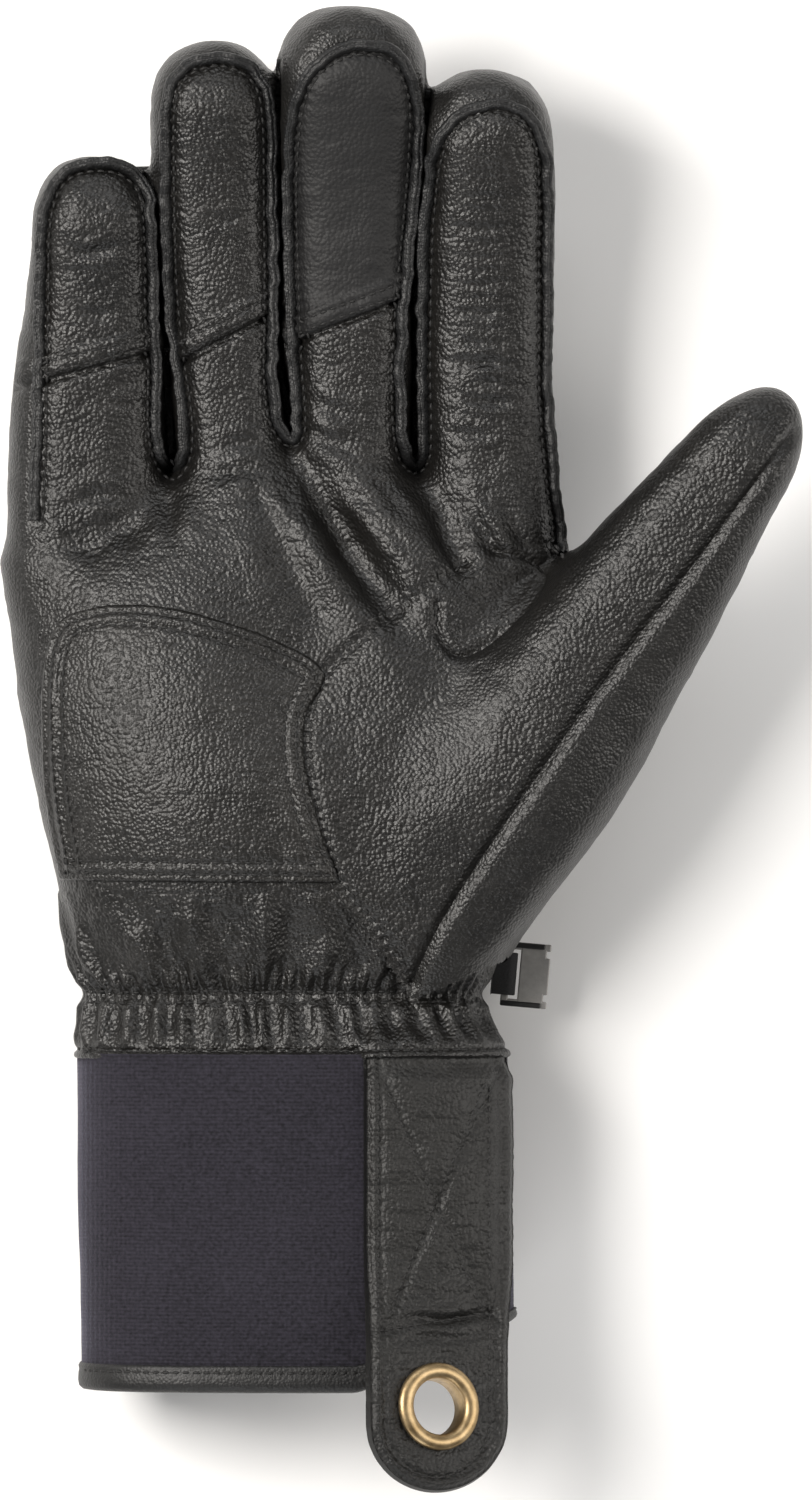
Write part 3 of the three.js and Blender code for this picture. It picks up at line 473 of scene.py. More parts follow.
# Out-seam that runs round every finger, as seen from the palm, in millimetres: up the
# side of the palm, round the fingers and down to the web of the thumb.
WELT = (
    (-50.3, 108), (-49.7, 124), (-49.5, 136), (-49.3, 146), (-49.1, 156), (-48.9, 165), (-47.5, 172.6),
    (-44.7, 176.8), (-40.3, 178.6), (-34.7, 178.4), (-30.7, 176), (-28.7, 172), (-27.9, 161),
    (-27.9, 149.6), (-27.3, 138), (-27.3, 126), (-25.9, 119.6), (-23.1, 117.2), (-20.7, 121),
    (-20.5, 129), (-22.1, 140.4), (-23.4, 154), (-23.8, 166), (-24, 180), (-23.8, 190), (-22.2, 195.6),
    (-19.1, 198.4), (-13.9, 199.6), (-8.7, 198), (-5.5, 194.4), (-4.3, 188), (-4.1, 172), (-3.9, 149.6),
    (-4.1, 138), (-3.3, 129), (-1.3, 124.8), (1.1, 123.8), (2.3, 127), (1.5, 139.8), (0.9, 157),
    (0.5, 172.2), (0.9, 182.6), (2.3, 191.8), (5.7, 197.6), (10.7, 200.8), (15.3, 201.6),
    (20.1, 200.4), (23.3, 196.8), (25.1, 191), (24.7, 177.8), (22.9, 158), (21.9, 144.6),
    (21.5, 132.4), (22.7, 121), (25.3, 118.4), (27.3, 121), (27.3, 138.6), (27.5, 157), (28.1, 169.2),
    (29.9, 181.4), (34.1, 187.6), (40.9, 190.2), (47.2, 188), (50.2, 182), (51, 172.2), (50.9, 157),
    (50.9, 144.6), (51.1, 132.4), (52.1, 120), (53.4, 108), (54, 101),
)


def near_line(points, line):
    """Distance from plan points to a polyline, and how far along it the nearest place is."""
    best = np.full(len(points), 1e9)
    place = np.zeros(len(points))
    passed = 0.0
    for a, b in zip(line[:-1], line[1:]):
        step = b - a
        length = np.linalg.norm(step)
        t = np.clip(((points - a) @ step) / length**2, 0, 1)
        distance = np.linalg.norm(points - a - t[:, None] * step, axis=1)
        closer = distance < best
        best = np.where(closer, distance, best)
        place = np.where(closer, passed + t * length, place)
        passed += length
    return best, place


def inside(points, outline):
    """Which plan points lie inside a closed outline."""
    x, y = points.T
    result = np.zeros(len(points), bool)
    for (ax, ay), (bx, by) in zip(outline, np.roll(outline, -1, axis=0)):
        if ay == by:
            continue
        crosses = (ay > y) != (by > y)
        result ^= crosses & (x < ax + (y - ay) * (bx - ax) / (by - ay))
    return result


welt_line = curve(WELT, 1.5)
side_seam = curve(in_plan(SIDE_SEAM), 2)
index_seam = in_plan(INDEX_SEAM)
thenar_seam = curve(in_plan(THENAR_SEAM), 2)
thumb_seam = curve(in_plan(THUMB_SEAM), 2)
gusset_outline = curve(in_plan(GUSSET_OUTLINE), 1, closed=True)[:-1]
gusset_line = gusset_outline[: len(gusset_outline) * 3 // 4]
patch_outline = curve(in_plan(HEEL_PATCH_OUTLINE[2:] + HEEL_PATCH_OUTLINE[:1]), 1)
patch_outline = np.vstack([patch_outline, in_plan(HEEL_PATCH_OUTLINE[1:2])])
palm_outline = np.vstack([side_seam, welt_line, index_seam, thenar_seam])
thumb_front_outline = np.vstack([
    thenar_seam[::-1], thumb_seam, in_plan(((0.93, 1.12), (0.75, 1.18), (0.5, 0.98), (0.47, 0.8)))])
thumb_outer_outline = np.vstack([
    thumb_seam, in_plan(((1.1, 1.3), (1.3, 1.2), (1.3, 0.2), (0.7, -0.05), (0.25, -0.05)))])


def cross_seam(name):
    """Both ends of the slanted seam across a finger, in plan."""
    d = DIGITS[name]
    left, right = CROSS_SEAMS[name]
    centre, _, across, _, half, _ = digit_sections(d, np.array([left, right]))
    return np.array([centre[0, :2] - across[0, :2] * half[0], centre[1, :2] + across[1, :2] * half[1]])


# Relief of the leather.

# Creases and folds of the palm side: a line in plan with its width and depth, and the
# height of the lips beside it, in millimetres.
FOLDS = (
    (((1, 122), (6, 113), (13, 101), (19, 92), (24, 84)), 3.4, 3.4, 1.3),
    (((-3, 121), (-4, 112), (0, 101), (6, 90), (12, 84)), 3.4, 1.1, 0.5),
    (((27, 117), (31, 108), (34, 99), (33, 92)), 3.4, 2.2, 1),
    (((10, 121), (16, 112), (23, 103), (29, 95)), 1.8, 0.5, 0.4),
    (((16, 118), (21, 111), (27, 104)), 1.3, 0.6, 0.4),
    (((36, 112), (40, 104), (44, 97)), 1.6, 0.8, 0.4),
    (((42, 112), (46, 105), (50, 99)), 1.4, 0.7, 0.4),
    (((-23, 116), (-24, 110), (-23, 102)), 1.8, 0.9, 0.4),
    (((-46, 111), (-38, 113), (-30, 112)), 1.5, 0.5, 0.3),
    (((-45, 104), (-36, 106), (-27, 104)), 1.5, 0.45, 0.3),
    (((-18, 116), (-10, 118), (-3, 117)), 1.3, 0.4, 0.25),
    (((-15, 122), (-9, 123.5), (-5, 122)), 1.1, 0.35, 0.2),
    (((-46.5, 164), (-42, 161.5), (-36, 162), (-31, 163.5)), 1, 0.7, 0.35),
    (((-46, 152), (-40, 149.5), (-35, 149)), 1, 0.4, 0.25),
    (((-40, 140), (-34, 141), (-29, 143)), 1.2, 0.35, 0.2),
    (((-18, 169), (-12, 168), (-6, 169)), 0.9, 0.25, 0.15),
    (((31, 150), (38, 149.2), (46, 149.6)), 0.8, 0.45, 0.25),
    (((30, 144.5), (37, 143.2), (45, 143.4)), 0.8, 0.35, 0.25),
    (((32, 139), (37, 139.5), (47, 138.6)), 0.9, 0.6, 0.3),
    (((33, 133), (40, 131.6), (47, 131.8)), 1, 0.7, 0.35),
    (((31, 126), (37, 125), (43, 125.6)), 1, 0.5, 0.3),
    (((31, 155.5), (38, 155), (46, 155.8)), 0.7, 0.3, 0.2),
    (((32, 161), (40, 160.4), (47, 161)), 0.7, 0.25, 0.15),
    (((31, 167), (39, 166.2), (48, 166.6)), 0.7, 0.25, 0.15),
    (((32, 173), (40, 172.4), (48, 173)), 0.7, 0.2, 0.15),
    (((2, 133), (9, 130), (17, 129)), 1.2, 0.4, 0.3),
    (((3, 127), (8, 123), (15, 121)), 1.4, 0.5, 0.3),
    (((8, 118), (13, 113), (21, 110)), 1.3, 0.4, 0.3),
)
# Places where the leather is crushed into fine ridges: middle, reach along and across the
# ridges, their direction in degrees and their height.
CRUSHED = (
    ((20, 100), (13, 9), -52, 0.28),
    ((34, 100), (11, 8), -62, 0.3),
    ((0, 112), (8, 8), -70, 0.35),
    ((37, 108), (9, 6), -58, 0.35),
    ((39, 140), (11, 16), 3, 0.3),
    ((-40, 148), (8, 12), 5, 0.22),
    ((-38, 108), (12, 8), 0, 0.3),
    ((8, 124), (9, 6), -15, 0.3),
    ((2, 36), (10, 10), -60, 0.35),
)
WRINKLE = 0.2
BAND_HEIGHT = 0.75
BAND_WIDTH = 4
BAND_STITCHES = (0.9, 3.1)
# Grooves along the seams: line, depth, width, and the share of the depth that comes and goes
# with the stitches.
GROOVES = (
    (welt_line, 0.9, 1.7, 0.25),
    (thenar_seam, 0.8, 1.3, 0.25),
    (thumb_seam, 1.5, 1.1, 0),
    (gusset_line, 1.1, 0.9, 0.06),
)


def crushing(p):
    """Height of the fine ridges of crushed leather."""
    total = 0
    for (x, y), (wide, long), turn, height in CRUSHED:
        u, v = p[:, 0] - x, p[:, 1] - y
        cos, sin = math.cos(math.radians(turn)), math.sin(math.radians(turn))
        along, across = u * cos + v * sin, v * cos - u * sin
        near = np.exp(-((along / wide) ** 2) - (across / long) ** 2)
        ridges = seeded_noise(np.stack([along / 3.4, across, p[:, 2] * 0.3], 1), 2.6, 6)
        small = 0.5 * seeded_noise(np.stack([along / 2, across], 1), 1.4, 7)
        total = total + near * height * (ridges + small)
    return total


def fold(plan, path, width, depth, lip, fade=(1.6, 0.12), lip_at=2.1, lip_wide=1.1):
    """Height of a fold with raised lips, which fades out towards both of its ends."""
    distance, place = near_line(plan, path)
    length = travelled(path)[-1]
    dip = -depth * bell(distance, 0, width)
    rim = lip * bell(distance, lip_at * width, lip_wide * width)
    return smoothstep(fade[0] * np.minimum(place, length - place) / length + fade[1]) * (dip + rim)


def seam_band(p, name):
    """Height of the stitched band above the slanted seam of a finger, with the groove below it."""
    a, b = cross_seam(name)
    length = np.linalg.norm(b - a)
    along = (b - a) / length
    ahead = (p[:, :2] - a) @ along / length
    up = (p[:, :2] - a) @ np.array([-along[1], along[0]])
    band = BAND_HEIGHT * smoothstep((up + 0.1) / 0.5) * (1 - smoothstep((up - BAND_WIDTH + 0.1) / 1.2))
    for row in BAND_STITCHES:
        band -= 0.3 * bell(up, row, 0.5)
    band -= 1.2 * bell(up, -0.5, 0.6)
    pucker = 0.25 * bell(up, 1.9, 2.6) * seeded_noise(p * (1, 0.35, 1), 2.3, 5)
    return ((ahead > -0.02) & (ahead < 1.02)) * (band + pucker)


def relief(p, normal):
    """How far the leather stands above or below its smooth shape."""
    plan = p[:, :2]
    front = smoothstep((normal[:, 2] - 0.05) / 0.4)
    total = layers(p, (0.4, 17, 1), (0.14, 6, 2))
    stretched = seeded_noise(p * (1, 2.4, 1), 4.2, 3)
    total = total + WRINKLE * stretched * (0.4 + 0.6 * seeded_noise(p, 19, 4) ** 2)
    total = total + front * crushing(p)
    for line, width, depth, lip in FOLDS:
        path = curve(line, 2)
        near = np.all((plan > path.min(0) - 12) & (plan < path.max(0) + 12), axis=1) & (front > 0)
        if near.any():
            total[near] += front[near] * fold(plan[near], path, width, depth, lip)
    for name in CROSS_SEAMS:
        total += front * seam_band(p, name)
    near = (front > 0) & (plan[:, 1] > 10)
    for line, depth, width, puckered in GROOVES:
        distance, place = near_line(plan[near], line)
        pucker = 1 - puckered + puckered * np.cos(place * math.tau / STITCH_STEP)
        total[near] -= front[near] * depth * pucker * bell(distance, 0, width)
    return total


# Meshes.

cuff_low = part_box("cuff")[0]
wrist_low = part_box("wrist_gather")[0]
RING = (np.arange(28) + 0.5) * math.tau / 28


def round_angles(count):
    return np.arange(count) * math.tau / count


def bend(v, squareness):
    return np.sign(v) * np.abs(v) ** (2 / squareness)


def ring_point(table, width, depth, at, angle, inset):
    """Places across and up on the section of a flattened tube."""
    middle_x, middle_z, half_width, half_depth = body_section(table, width, depth, at, inset)
    x = middle_x + bend(np.cos(angle), PALM_SQUARENESS) * half_width
    return x, middle_z + bend(np.sin(angle), PALM_SQUARENESS) * half_depth


def cuff_point(at, angle, inset):
    """Points on the cuff, at shares of its length from the hem to the slanted mouth."""
    x, z = ring_point(CUFF_ROWS, CUFF_WIDTH, CUFF_DEPTH, at, angle, inset)
    rise = np.maximum(x / CUFF_WIDTH - 0.15, 0) / 0.35
    return np.stack([x, -at * CUFF_LENGTH + MOUTH_RISE * rise**1.2 * at**3, np.maximum(z, 0)], -1)


# The glove's own axes start at the wrist hem: the hem and the cuff give their place.
OFFSET = np.array([
    cuff_low.x * 1000 - cuff_point(CLEARANCE / CUFF_LENGTH, RING, 0)[:, 0].min(), wrist_low.y * 1000, 0])


def to_frame(points):
    return (np.asarray(points, float) + OFFSET) / 1000


def mesh_object(name, points, faces, material, smooth=True):
    """A mesh from points in the glove's own axes and faces of three or four corners."""
    mesh = bpy.data.meshes.new(name)
    mesh.from_pydata(to_frame(points).tolist(), [], [list(map(int, f)) for f in faces])
    mesh.polygons.foreach_set("use_smooth", [smooth] * len(mesh.polygons))
    mesh.materials.append(material)
    mesh.update()
    thing = bpy.data.objects.new(name, mesh)
    bpy.context.scene.collection.objects.link(thing)
    return thing


def piece(name, points, faces, material, slot, nodes=(), smooth=True):
    """A mesh object that belongs to the glove and stands for the named nodes of its frame."""
    thing = mesh_object(name, points, faces, material, smooth)
    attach(thing, "root")
    if nodes:
        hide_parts(*nodes)
    return thing


def joined(parts):
    """One set of points and faces from several."""
    points, faces, start = [], [], 0
    for p, f in parts:
        points.append(p)
        corners = f.tolist() if isinstance(f, np.ndarray) else f
        faces += [[k + start for k in face] for face in corners]
        start += len(p)
    return np.vstack(points), faces


def grid_faces(rows_count, columns_count, closed=False):
    """Quads over a grid of points, closed round its columns if asked."""
    r = np.arange(rows_count - 1)[:, None] * columns_count
    c = np.arange(columns_count if closed else columns_count - 1)[None, :]
    n = (c + 1) % columns_count
    quads = np.stack([r + c, r + n, r + columns_count + n, r + columns_count + c], -1)
    return quads.reshape(-1, 4)


def kept(points, quads, mask):
    """The faces in mask with only their own points, and which points those are."""
    faces = quads[mask]
    used, index = np.unique(faces, return_inverse=True)
    return points[used], index.reshape(faces.shape), used


def refined(points, quads):
    """Each quad split in four, its new points set on the skin."""
    edges = np.sort(np.concatenate([quads[:, [k, (k + 1) % 4]] for k in range(4)]), axis=1)
    unique, index = np.unique(edges, axis=0, return_inverse=True)
    count = len(quads)
    side = len(points) + index.reshape(4, count)
    middle = len(points) + len(unique) + np.arange(count)
    more = np.vstack([points, points[unique].mean(1), points[quads].mean(1)])
    faces = np.concatenate([
        np.stack([quads[:, k], side[k], middle, side[(k + 3) % 4]], 1) for k in range(4)])
    fresh = slice(len(points), None)
    more[fresh] = on_skin(more[fresh])
    return more, faces


# The furthest that a point moves onto the skin in one step.
MOST_MOVED = 0.6


def on_skin(p):
    """Points moved onto the skin in two steps."""
    for _ in range(2):
        normal = hand_normal(p)
        p = p - np.clip(hand_field(*p.T), -MOST_MOVED, MOST_MOVED)[:, None] * normal
    return p


# Which part of the skin goes to which panel, by heights and reaches in millimetres: the palm
# side, the strips between the fingers, the fingertip faces and the edge at the wrist.
PALM_SIDE_ABOVE = 20
STRIP_HALF = 7
STRIP_BEFORE_SLIT = 6
STRIP_ABOVE = 12
STRIP_STEEPNESS = 0.8
TIP_MARGIN = 4
TIPS_BEYOND = 120
BACK_BELOW = 24
UNDER_WRIST = 3
SEAM_CATCH = 0.85

PALM_SIDE = (
    "pinky_tip_front", "ring_tip_front", "middle_tip_front", "thumb_gusset", "palm_panel", "thumb_front")
PANELS = (
    *PALM_SIDE, "thumb_outer", "fourchette_pinky_ring", "fourchette_ring_middle", "fourchette_middle_index",
    "back_panel")

skin, skin_quads = hand_skin()
centres = skin[skin_quads].mean(1)
facing = unit(np.cross(
    skin[skin_quads[:, 2]] - skin[skin_quads[:, 0]], skin[skin_quads[:, 3]] - skin[skin_quads[:, 1]]))
plan = centres[:, :2]
upward = (facing[:, 2] > 0.02) & (centres[:, 2] > PALM_SIDE_ABOVE)
region = np.full(len(centres), PANELS.index("back_panel"))


def assign(faces, name):
    region[faces] = PANELS.index(name)


beside_slit = {
    names: plan[:, 0] - np.interp(plan[:, 1], line["y"], line["x"]) for names, line in SLITS.items()}
for (left_name, right_name), line in SLITS.items():
    between = np.abs(beside_slit[(left_name, right_name)]) < STRIP_HALF
    between &= (plan[:, 1] > line["y"][0] - STRIP_BEFORE_SLIT) & (centres[:, 2] > STRIP_ABOVE)
    assign(between & (np.abs(facing[:, 2]) < STRIP_STEEPNESS), f"fourchette_{left_name}_{right_name}")
assign(upward & inside(plan, thumb_outer_outline), "thumb_outer")
assign(upward & inside(plan, thumb_front_outline), "thumb_front")
in_palm = upward & inside(plan, palm_outline)
assign(in_palm, "palm_panel")
for name in CROSS_SEAMS:
    a, b = cross_seam(name)
    beyond = (b[0] - a[0]) * (plan[:, 1] - a[1]) - (b[1] - a[1]) * (plan[:, 0] - a[0]) > 0
    on_digit = (plan[:, 0] > a[0] - TIP_MARGIN) & (plan[:, 0] < b[0] + TIP_MARGIN)
    on_digit &= plan[:, 1] > TIPS_BEYOND
    for (left_name, right_name), beside in beside_slit.items():
        if right_name == name:
            on_digit &= beside > 0
        if left_name == name:
            on_digit &= beside < 0
    assign(in_palm & beyond & on_digit, f"{name}_tip_front")
assign(upward & inside(plan, gusset_outline), "thumb_gusset")

wrist = np.interp(plan[:, 0], *in_plan(WRIST_LINE).T)
back_wrist = np.interp(plan[:, 0], *in_plan(BACK_WRIST_LINE).T)
region[plan[:, 1] < np.where(centres[:, 2] > BACK_BELOW, wrist, back_wrist) - UNDER_WRIST] = -1

# Points between two panels move onto the seam between them.
corner_low = np.full(len(skin), 99)
corner_high = np.full(len(skin), -9)
for k in range(4):
    np.minimum.at(corner_low, skin_quads[:, k], region)
    np.maximum.at(corner_high, skin_quads[:, k], region)
border = np.flatnonzero(corner_low != corner_high)
for line in (palm_outline, thumb_seam, closed_line(gusset_outline), *map(cross_seam, CROSS_SEAMS)):
    distance, place = near_line(skin[border, :2], line)
    move = (distance < SEAM_CATCH) & (skin[border, 2] > PALM_SIDE_ABOVE)
    move &= hand_normal(skin[border])[:, 2] > 0.1
    moved = skin[border[move]].copy()
    moved[:, :2] = at_lengths(place[move], travelled(line), line)
    skin[border[move]] = on_skin(moved)
    border = border[~move]


# Materials.


def new_material(name, **values):
    """A material with a Principled shader, set by its socket names, and its node tree."""
    material = bpy.data.materials.new(name)
    material.use_nodes = True
    tree = material.node_tree
    shader = tree.nodes["Principled BSDF"]
    for socket, value in values.items():
        shader.inputs[socket.replace("_", " ")].default_value = value
    place = tree.nodes.new("ShaderNodeTexCoord").outputs["Object"]
    return material, tree, shader, place


def texture(tree, kind, place, scale, **inputs):
    node = tree.nodes.new(f"ShaderNodeTex{kind}")
    tree.links.new(place, node.inputs["Vector"])
    node.inputs["Scale"].default_value = scale
    for socket, value in inputs.items():
        node.inputs[socket.replace("_", " ")].default_value = value
    return node


def sum_of(tree, *terms):
    """Sum of (output, weight) pairs."""
    total = None
    for output, weight in terms:
        node = tree.nodes.new("ShaderNodeMath")
        node.operation = "MULTIPLY_ADD"
        tree.links.new(output, node.inputs[0])
        node.inputs[1].default_value = weight
        node.inputs[2].default_value = 0
        if total is not None:
            tree.links.new(total, node.inputs[2])
        total = node.outputs[0]
    return total


def bump(tree, shader, height, strength, distance):
    node = tree.nodes.new("ShaderNodeBump")
    node.inputs["Strength"].default_value = strength
    node.inputs["Distance"].default_value = distance
    tree.links.new(height, node.inputs["Height"])
    tree.links.new(node.outputs["Normal"], shader.inputs["Normal"])


def ramp(tree, factor, *stops):
    node = tree.nodes.new("ShaderNodeValToRGB")
    while len(node.color_ramp.elements) < len(stops):
        node.color_ramp.elements.new(0.5)
    for element, (position, colour) in zip(node.color_ramp.elements, stops):
        element.position = position
        element.color = (*colour, 1)
    tree.links.new(factor, node.inputs["Fac"])
    return node.outputs["Color"]


def mapped(tree, value, low, high):
    node = tree.nodes.new("ShaderNodeMapRange")
    node.inputs["To Min"].default_value = low
    node.inputs["To Max"].default_value = high
    tree.links.new(value, node.inputs["Value"])
    return node.outputs["Result"]


def coloured(tree, shader, factor, *stops):
    tree.links.new(ramp(tree, factor, *stops), shader.inputs["Base Color"])


def roughened(tree, shader, value, low, high):
    tree.links.new(mapped(tree, value, low, high), shader.inputs["Roughness"])


def leather(name, dark, light, roughness, grain, depth):
    """Pebbled leather: grain is cells to the metre, depth the strength of their relief."""
    material, tree, shader, place = new_material(name, Specular_IOR_Level=0.5, IOR=1.5)
    pebbles = texture(tree, "Voronoi", place, grain, Randomness=0.95)
    pebbles.feature = "SMOOTH_F1"
    pebbles.inputs["Smoothness"].default_value = 0.35
    pebbled = pebbles.outputs["Distance"]
    fine, broad, patches = (
        texture(tree, "Noise", place, scale, **inputs).outputs["Fac"] for scale, inputs in (
            (grain * 2.2, dict(Detail=2)), (38, dict(Detail=4, Roughness=0.6)), (210, dict(Detail=3))))
    height = sum_of(tree, (pebbled, -1), (fine, 0.3), (patches, 0.25))
    bump(tree, shader, height, depth, 0.00032)
    tone = sum_of(tree, (broad, 0.6), (patches, 0.3), (pebbled, -0.12))
    coloured(tree, shader, tone, (0.22, dark), (0.62, light))
    roughened(tree, shader, patches, roughness - 0.07, roughness + 0.09)
    return material


def knit():
    """Fine knit of the cuff, in rows along the cuff and across it."""
    material, tree, shader, place = new_material("cuff_knit", Roughness=0.92, Specular_IOR_Level=0.25)
    shader.inputs["Sheen Weight"].default_value = 0.25
    shader.inputs["Sheen Roughness"].default_value = 0.5
    shader.inputs["Sheen Tint"].default_value = (0.6, 0.58, 0.75, 1)
    courses = texture(tree, "Wave", place, 420, Distortion=1.2, Detail=2)
    courses.bands_direction = "Y"
    wales = texture(tree, "Wave", place, 330, Distortion=1.5, Detail=2)
    wales.bands_direction = "X"
    speckle = texture(tree, "Noise", place, 1500, Detail=2).outputs["Fac"]
    broad = texture(tree, "Noise", place, 45, Detail=3).outputs["Fac"]
    height = sum_of(tree, (courses.outputs["Fac"], 0.7), (wales.outputs["Fac"], 0.3), (speckle, 0.8))
    bump(tree, shader, height, 0.6, 0.00025)
    tone = sum_of(tree, (courses.outputs["Fac"], 0.14), (speckle, 0.85), (broad, 0.25))
    coloured(tree, shader, tone, (0.35, (0.004, 0.0036, 0.0052)), (0.85, (0.027, 0.0245, 0.034)))
    return material


def brass():
    """Worn brass, cloudy in tone and gloss."""
    material, tree, shader, place = new_material("eyelet_brass", Metallic=1.0)
    cloud = texture(tree, "Noise", place, 300, Detail=5, Roughness=0.65).outputs["Fac"]
    fine = texture(tree, "Noise", place, 2200, Detail=2)
    coloured(tree, shader, cloud, (0.3, (0.24, 0.165, 0.08)), (0.7, (0.5, 0.375, 0.215)))
    roughened(tree, shader, cloud, 0.34, 0.5)
    bump(tree, shader, fine.outputs["Fac"], 0.15, 0.0001)
    return material


def plain(name, dark, light, roughness, scale=700, depth=0.3, metallic=0.0):
    """A plain surface with a fine mottle, for thread, webbing and painted metal."""
    material, tree, shader, place = new_material(name, Metallic=metallic)
    mottle = texture(tree, "Noise", place, scale, Detail=4, Roughness=0.6).outputs["Fac"]
    coloured(tree, shader, mottle, (0.3, dark), (0.7, light))
    roughened(tree, shader, mottle, roughness - 0.06, roughness + 0.08)
    bump(tree, shader, mottle, depth, 0.0002)
    return material


# Leathers: darkest and lightest colour, roughness, cells to the metre and depth of the grain.
LEATHERS = {
    "palm_leather": ((0.003, 0.0028, 0.0026), (0.0085, 0.0076, 0.0066), 0.39, 1250, 0.75),
    "patch_leather": ((0.005, 0.0047, 0.0043), (0.012, 0.0108, 0.0094), 0.38, 1350, 0.75),
    "back_leather": ((0.004, 0.0038, 0.0036), (0.009, 0.0083, 0.0074), 0.4, 1500, 0.55),
    "tab_leather": ((0.0035, 0.0033, 0.0028), (0.0075, 0.0069, 0.006), 0.52, 1200, 0.8),
    # A darker, rougher copy of the palm leather for the middle fingertip front: painted shade, not a leather
    # of its own.
    "painted_shade_leather": ((0.002, 0.0019, 0.0021), (0.0045, 0.0042, 0.0044), 0.6, 1250, 0.5),
    "welt_leather": ((0.003, 0.003, 0.0033), (0.009, 0.0092, 0.0096), 0.48, 1700, 0.5),
    "binding_leather": ((0.003, 0.003, 0.0032), (0.006, 0.0058, 0.0057), 0.5, 1700, 0.3),
}
leathers = {name: leather(name, *values) for name, values in LEATHERS.items()}
cuff_knit = knit()
eyelet_brass = brass()
thread = plain("thread", (0.003, 0.003, 0.003), (0.009, 0.0085, 0.008), 0.6, scale=3000, depth=0.5)
# The clip's grey paint is lifted lighter to make up for the shade it sits in, so it is partly its own colour
# and partly painted light.
clip_metal = plain("clip_metal", (0.24, 0.236, 0.228), (0.3, 0.293, 0.282), 0.5, metallic=0.2, depth=0.1)
clip_rail = plain("clip_rail", (0.006, 0.006, 0.006), (0.012, 0.012, 0.012), 0.4)
webbing = plain("clip_webbing", (0.006, 0.006, 0.0065), (0.018, 0.018, 0.02), 0.85, scale=2500, depth=0.8)

# Leather panels.

fronts = []
for number, name in enumerate(PANELS):
    points, faces, _ = kept(skin, skin_quads, region == number)
    normal = hand_normal(points)
    coarse = points + relief(points, normal)[:, None] * normal
    inner = coarse - LEATHER_WALL * normal, faces[:, ::-1]
    outer = coarse, faces
    if name in PALM_SIDE:
        points, faces = refined(points, faces)
        normal = hand_normal(points)
        outer = points + relief(points, normal)[:, None] * normal, faces
    if name == "palm_panel":
        palm_smooth, palm_faces, palm_normal = points, faces, normal
    if name in PALM_SIDE or name == "thumb_outer":
        fronts.append(outer)
    slot = "palm_leather" if name in PALM_SIDE else "back_leather"
    # The middle fingertip front takes the darker copy of the palm leather, which is painted shade.
    leather_or_painted_shade = "painted_shade_leather" if name == "middle_tip_front" else slot
    piece(name, *joined([outer, inner]), leathers[leather_or_painted_shade], slot, [name])


def tree_of(points, faces):
    """Faces to drop lines and stitches onto."""
    return BVHTree.FromPolygons(points.tolist(), faces.tolist() if isinstance(faces, np.ndarray) else faces)


front_tree = tree_of(*joined(fronts))
RAY_FROM = 120
LOOK_FROM = 40


def smoothed(values, own=2):
    """Evens out a row of values in place, each with its two neighbours."""
    values[1:-1] = (values[:-2] + own * values[1:-1] + values[2:]) / (2 + own)


def drop(plan_points, tree):
    """Places and normals on a surface under plan points."""
    places, normals = [], []
    for x, y in plan_points:
        hit, normal, _, _ = tree.ray_cast(Vector((x, y, RAY_FROM)), Vector((0, 0, -1)))
        if hit is None:
            hit, normal, _, _ = tree.find_nearest(Vector((x, y, LOOK_FROM)))
        places.append(hit[:])
        normals.append(normal[:])
    places, normals = np.array(places), np.array(normals)
    for _ in range(2):
        smoothed(normals, own=1)
        smoothed(places[:, 2])
    return places, unit(normals)


def directions(path):
    return unit(np.gradient(path, axis=0))


def offset_line(line, by):
    """A plan line moved to its left by a distance."""
    along = directions(line)
    return line + by * np.stack([-along[:, 1], along[:, 0]], 1)


def sweep(path, up, profile):
    """A closed profile of (left, up) places carried along a path, with both ends closed."""
    along = directions(path)
    left = unit(np.cross(up, along))
    up = np.cross(along, left)
    profile = np.asarray(profile, float)
    if profile.ndim == 2:
        profile = np.broadcast_to(profile, (len(path), *profile.shape))
    points = path[:, None] + profile[..., :1] * left[:, None] + profile[..., 1:] * up[:, None]
    n, m = points.shape[:2]
    caps = [list(range(m)), [(n - 1) * m + k for k in reversed(range(m))]]
    return points.reshape(-1, 3), grid_faces(n, m, closed=True).tolist() + caps


STITCH_LENGTH = 1.5
STITCH_RADIUS = 0.3
STITCH_START = 0.4
STITCH_SIDES = 6
STITCH_REACH = 0.6
STITCH_BOW = 0.16
# Places along half a stitch, with the thread's size there.
STITCH_RINGS = ((-1, 0.35), (-0.72, 0.9), (0, 1.08), (0.72, 0.9), (1, 0.35))


def stitches(path, normals, lift):
    """Short rounded threads at even steps along a path on the leather."""
    parts = []
    length = travelled(path)
    angles = round_angles(STITCH_SIDES)[:, None]
    faces = grid_faces(len(STITCH_RINGS), STITCH_SIDES, closed=True)
    for start in np.arange(STITCH_START, length[-1] - STITCH_LENGTH, STITCH_STEP):
        at = start + STITCH_LENGTH / 2
        ahead, behind = (at_lengths(at + reach, length, path) for reach in (STITCH_REACH, -STITCH_REACH))
        centre, up = at_lengths(at, length, path), at_lengths(at, length, normals)
        along = unit(ahead - behind)
        side = unit(np.cross(up, along))
        up = np.cross(along, side)
        points = [
            centre + along * s * STITCH_LENGTH / 2 + up * (lift - STITCH_BOW * s * s)
            + STITCH_RADIUS * size * (np.cos(angles) * side + np.sin(angles) * up)
            for s, size in STITCH_RINGS]
        parts.append((np.vstack(points), faces))
    return joined(parts)


def stitch_rows(name, seams, slot, tree=front_tree, lift=0.05):
    """One piece with all the stitches along plan lines, laid on the palm side."""
    parts = [stitches(*drop(even(line), tree), lift) for line in seams]
    piece(name, *joined(parts), thread, slot)


# Seams of the hand. The welt is drawn beside its line: to the left is the palm.

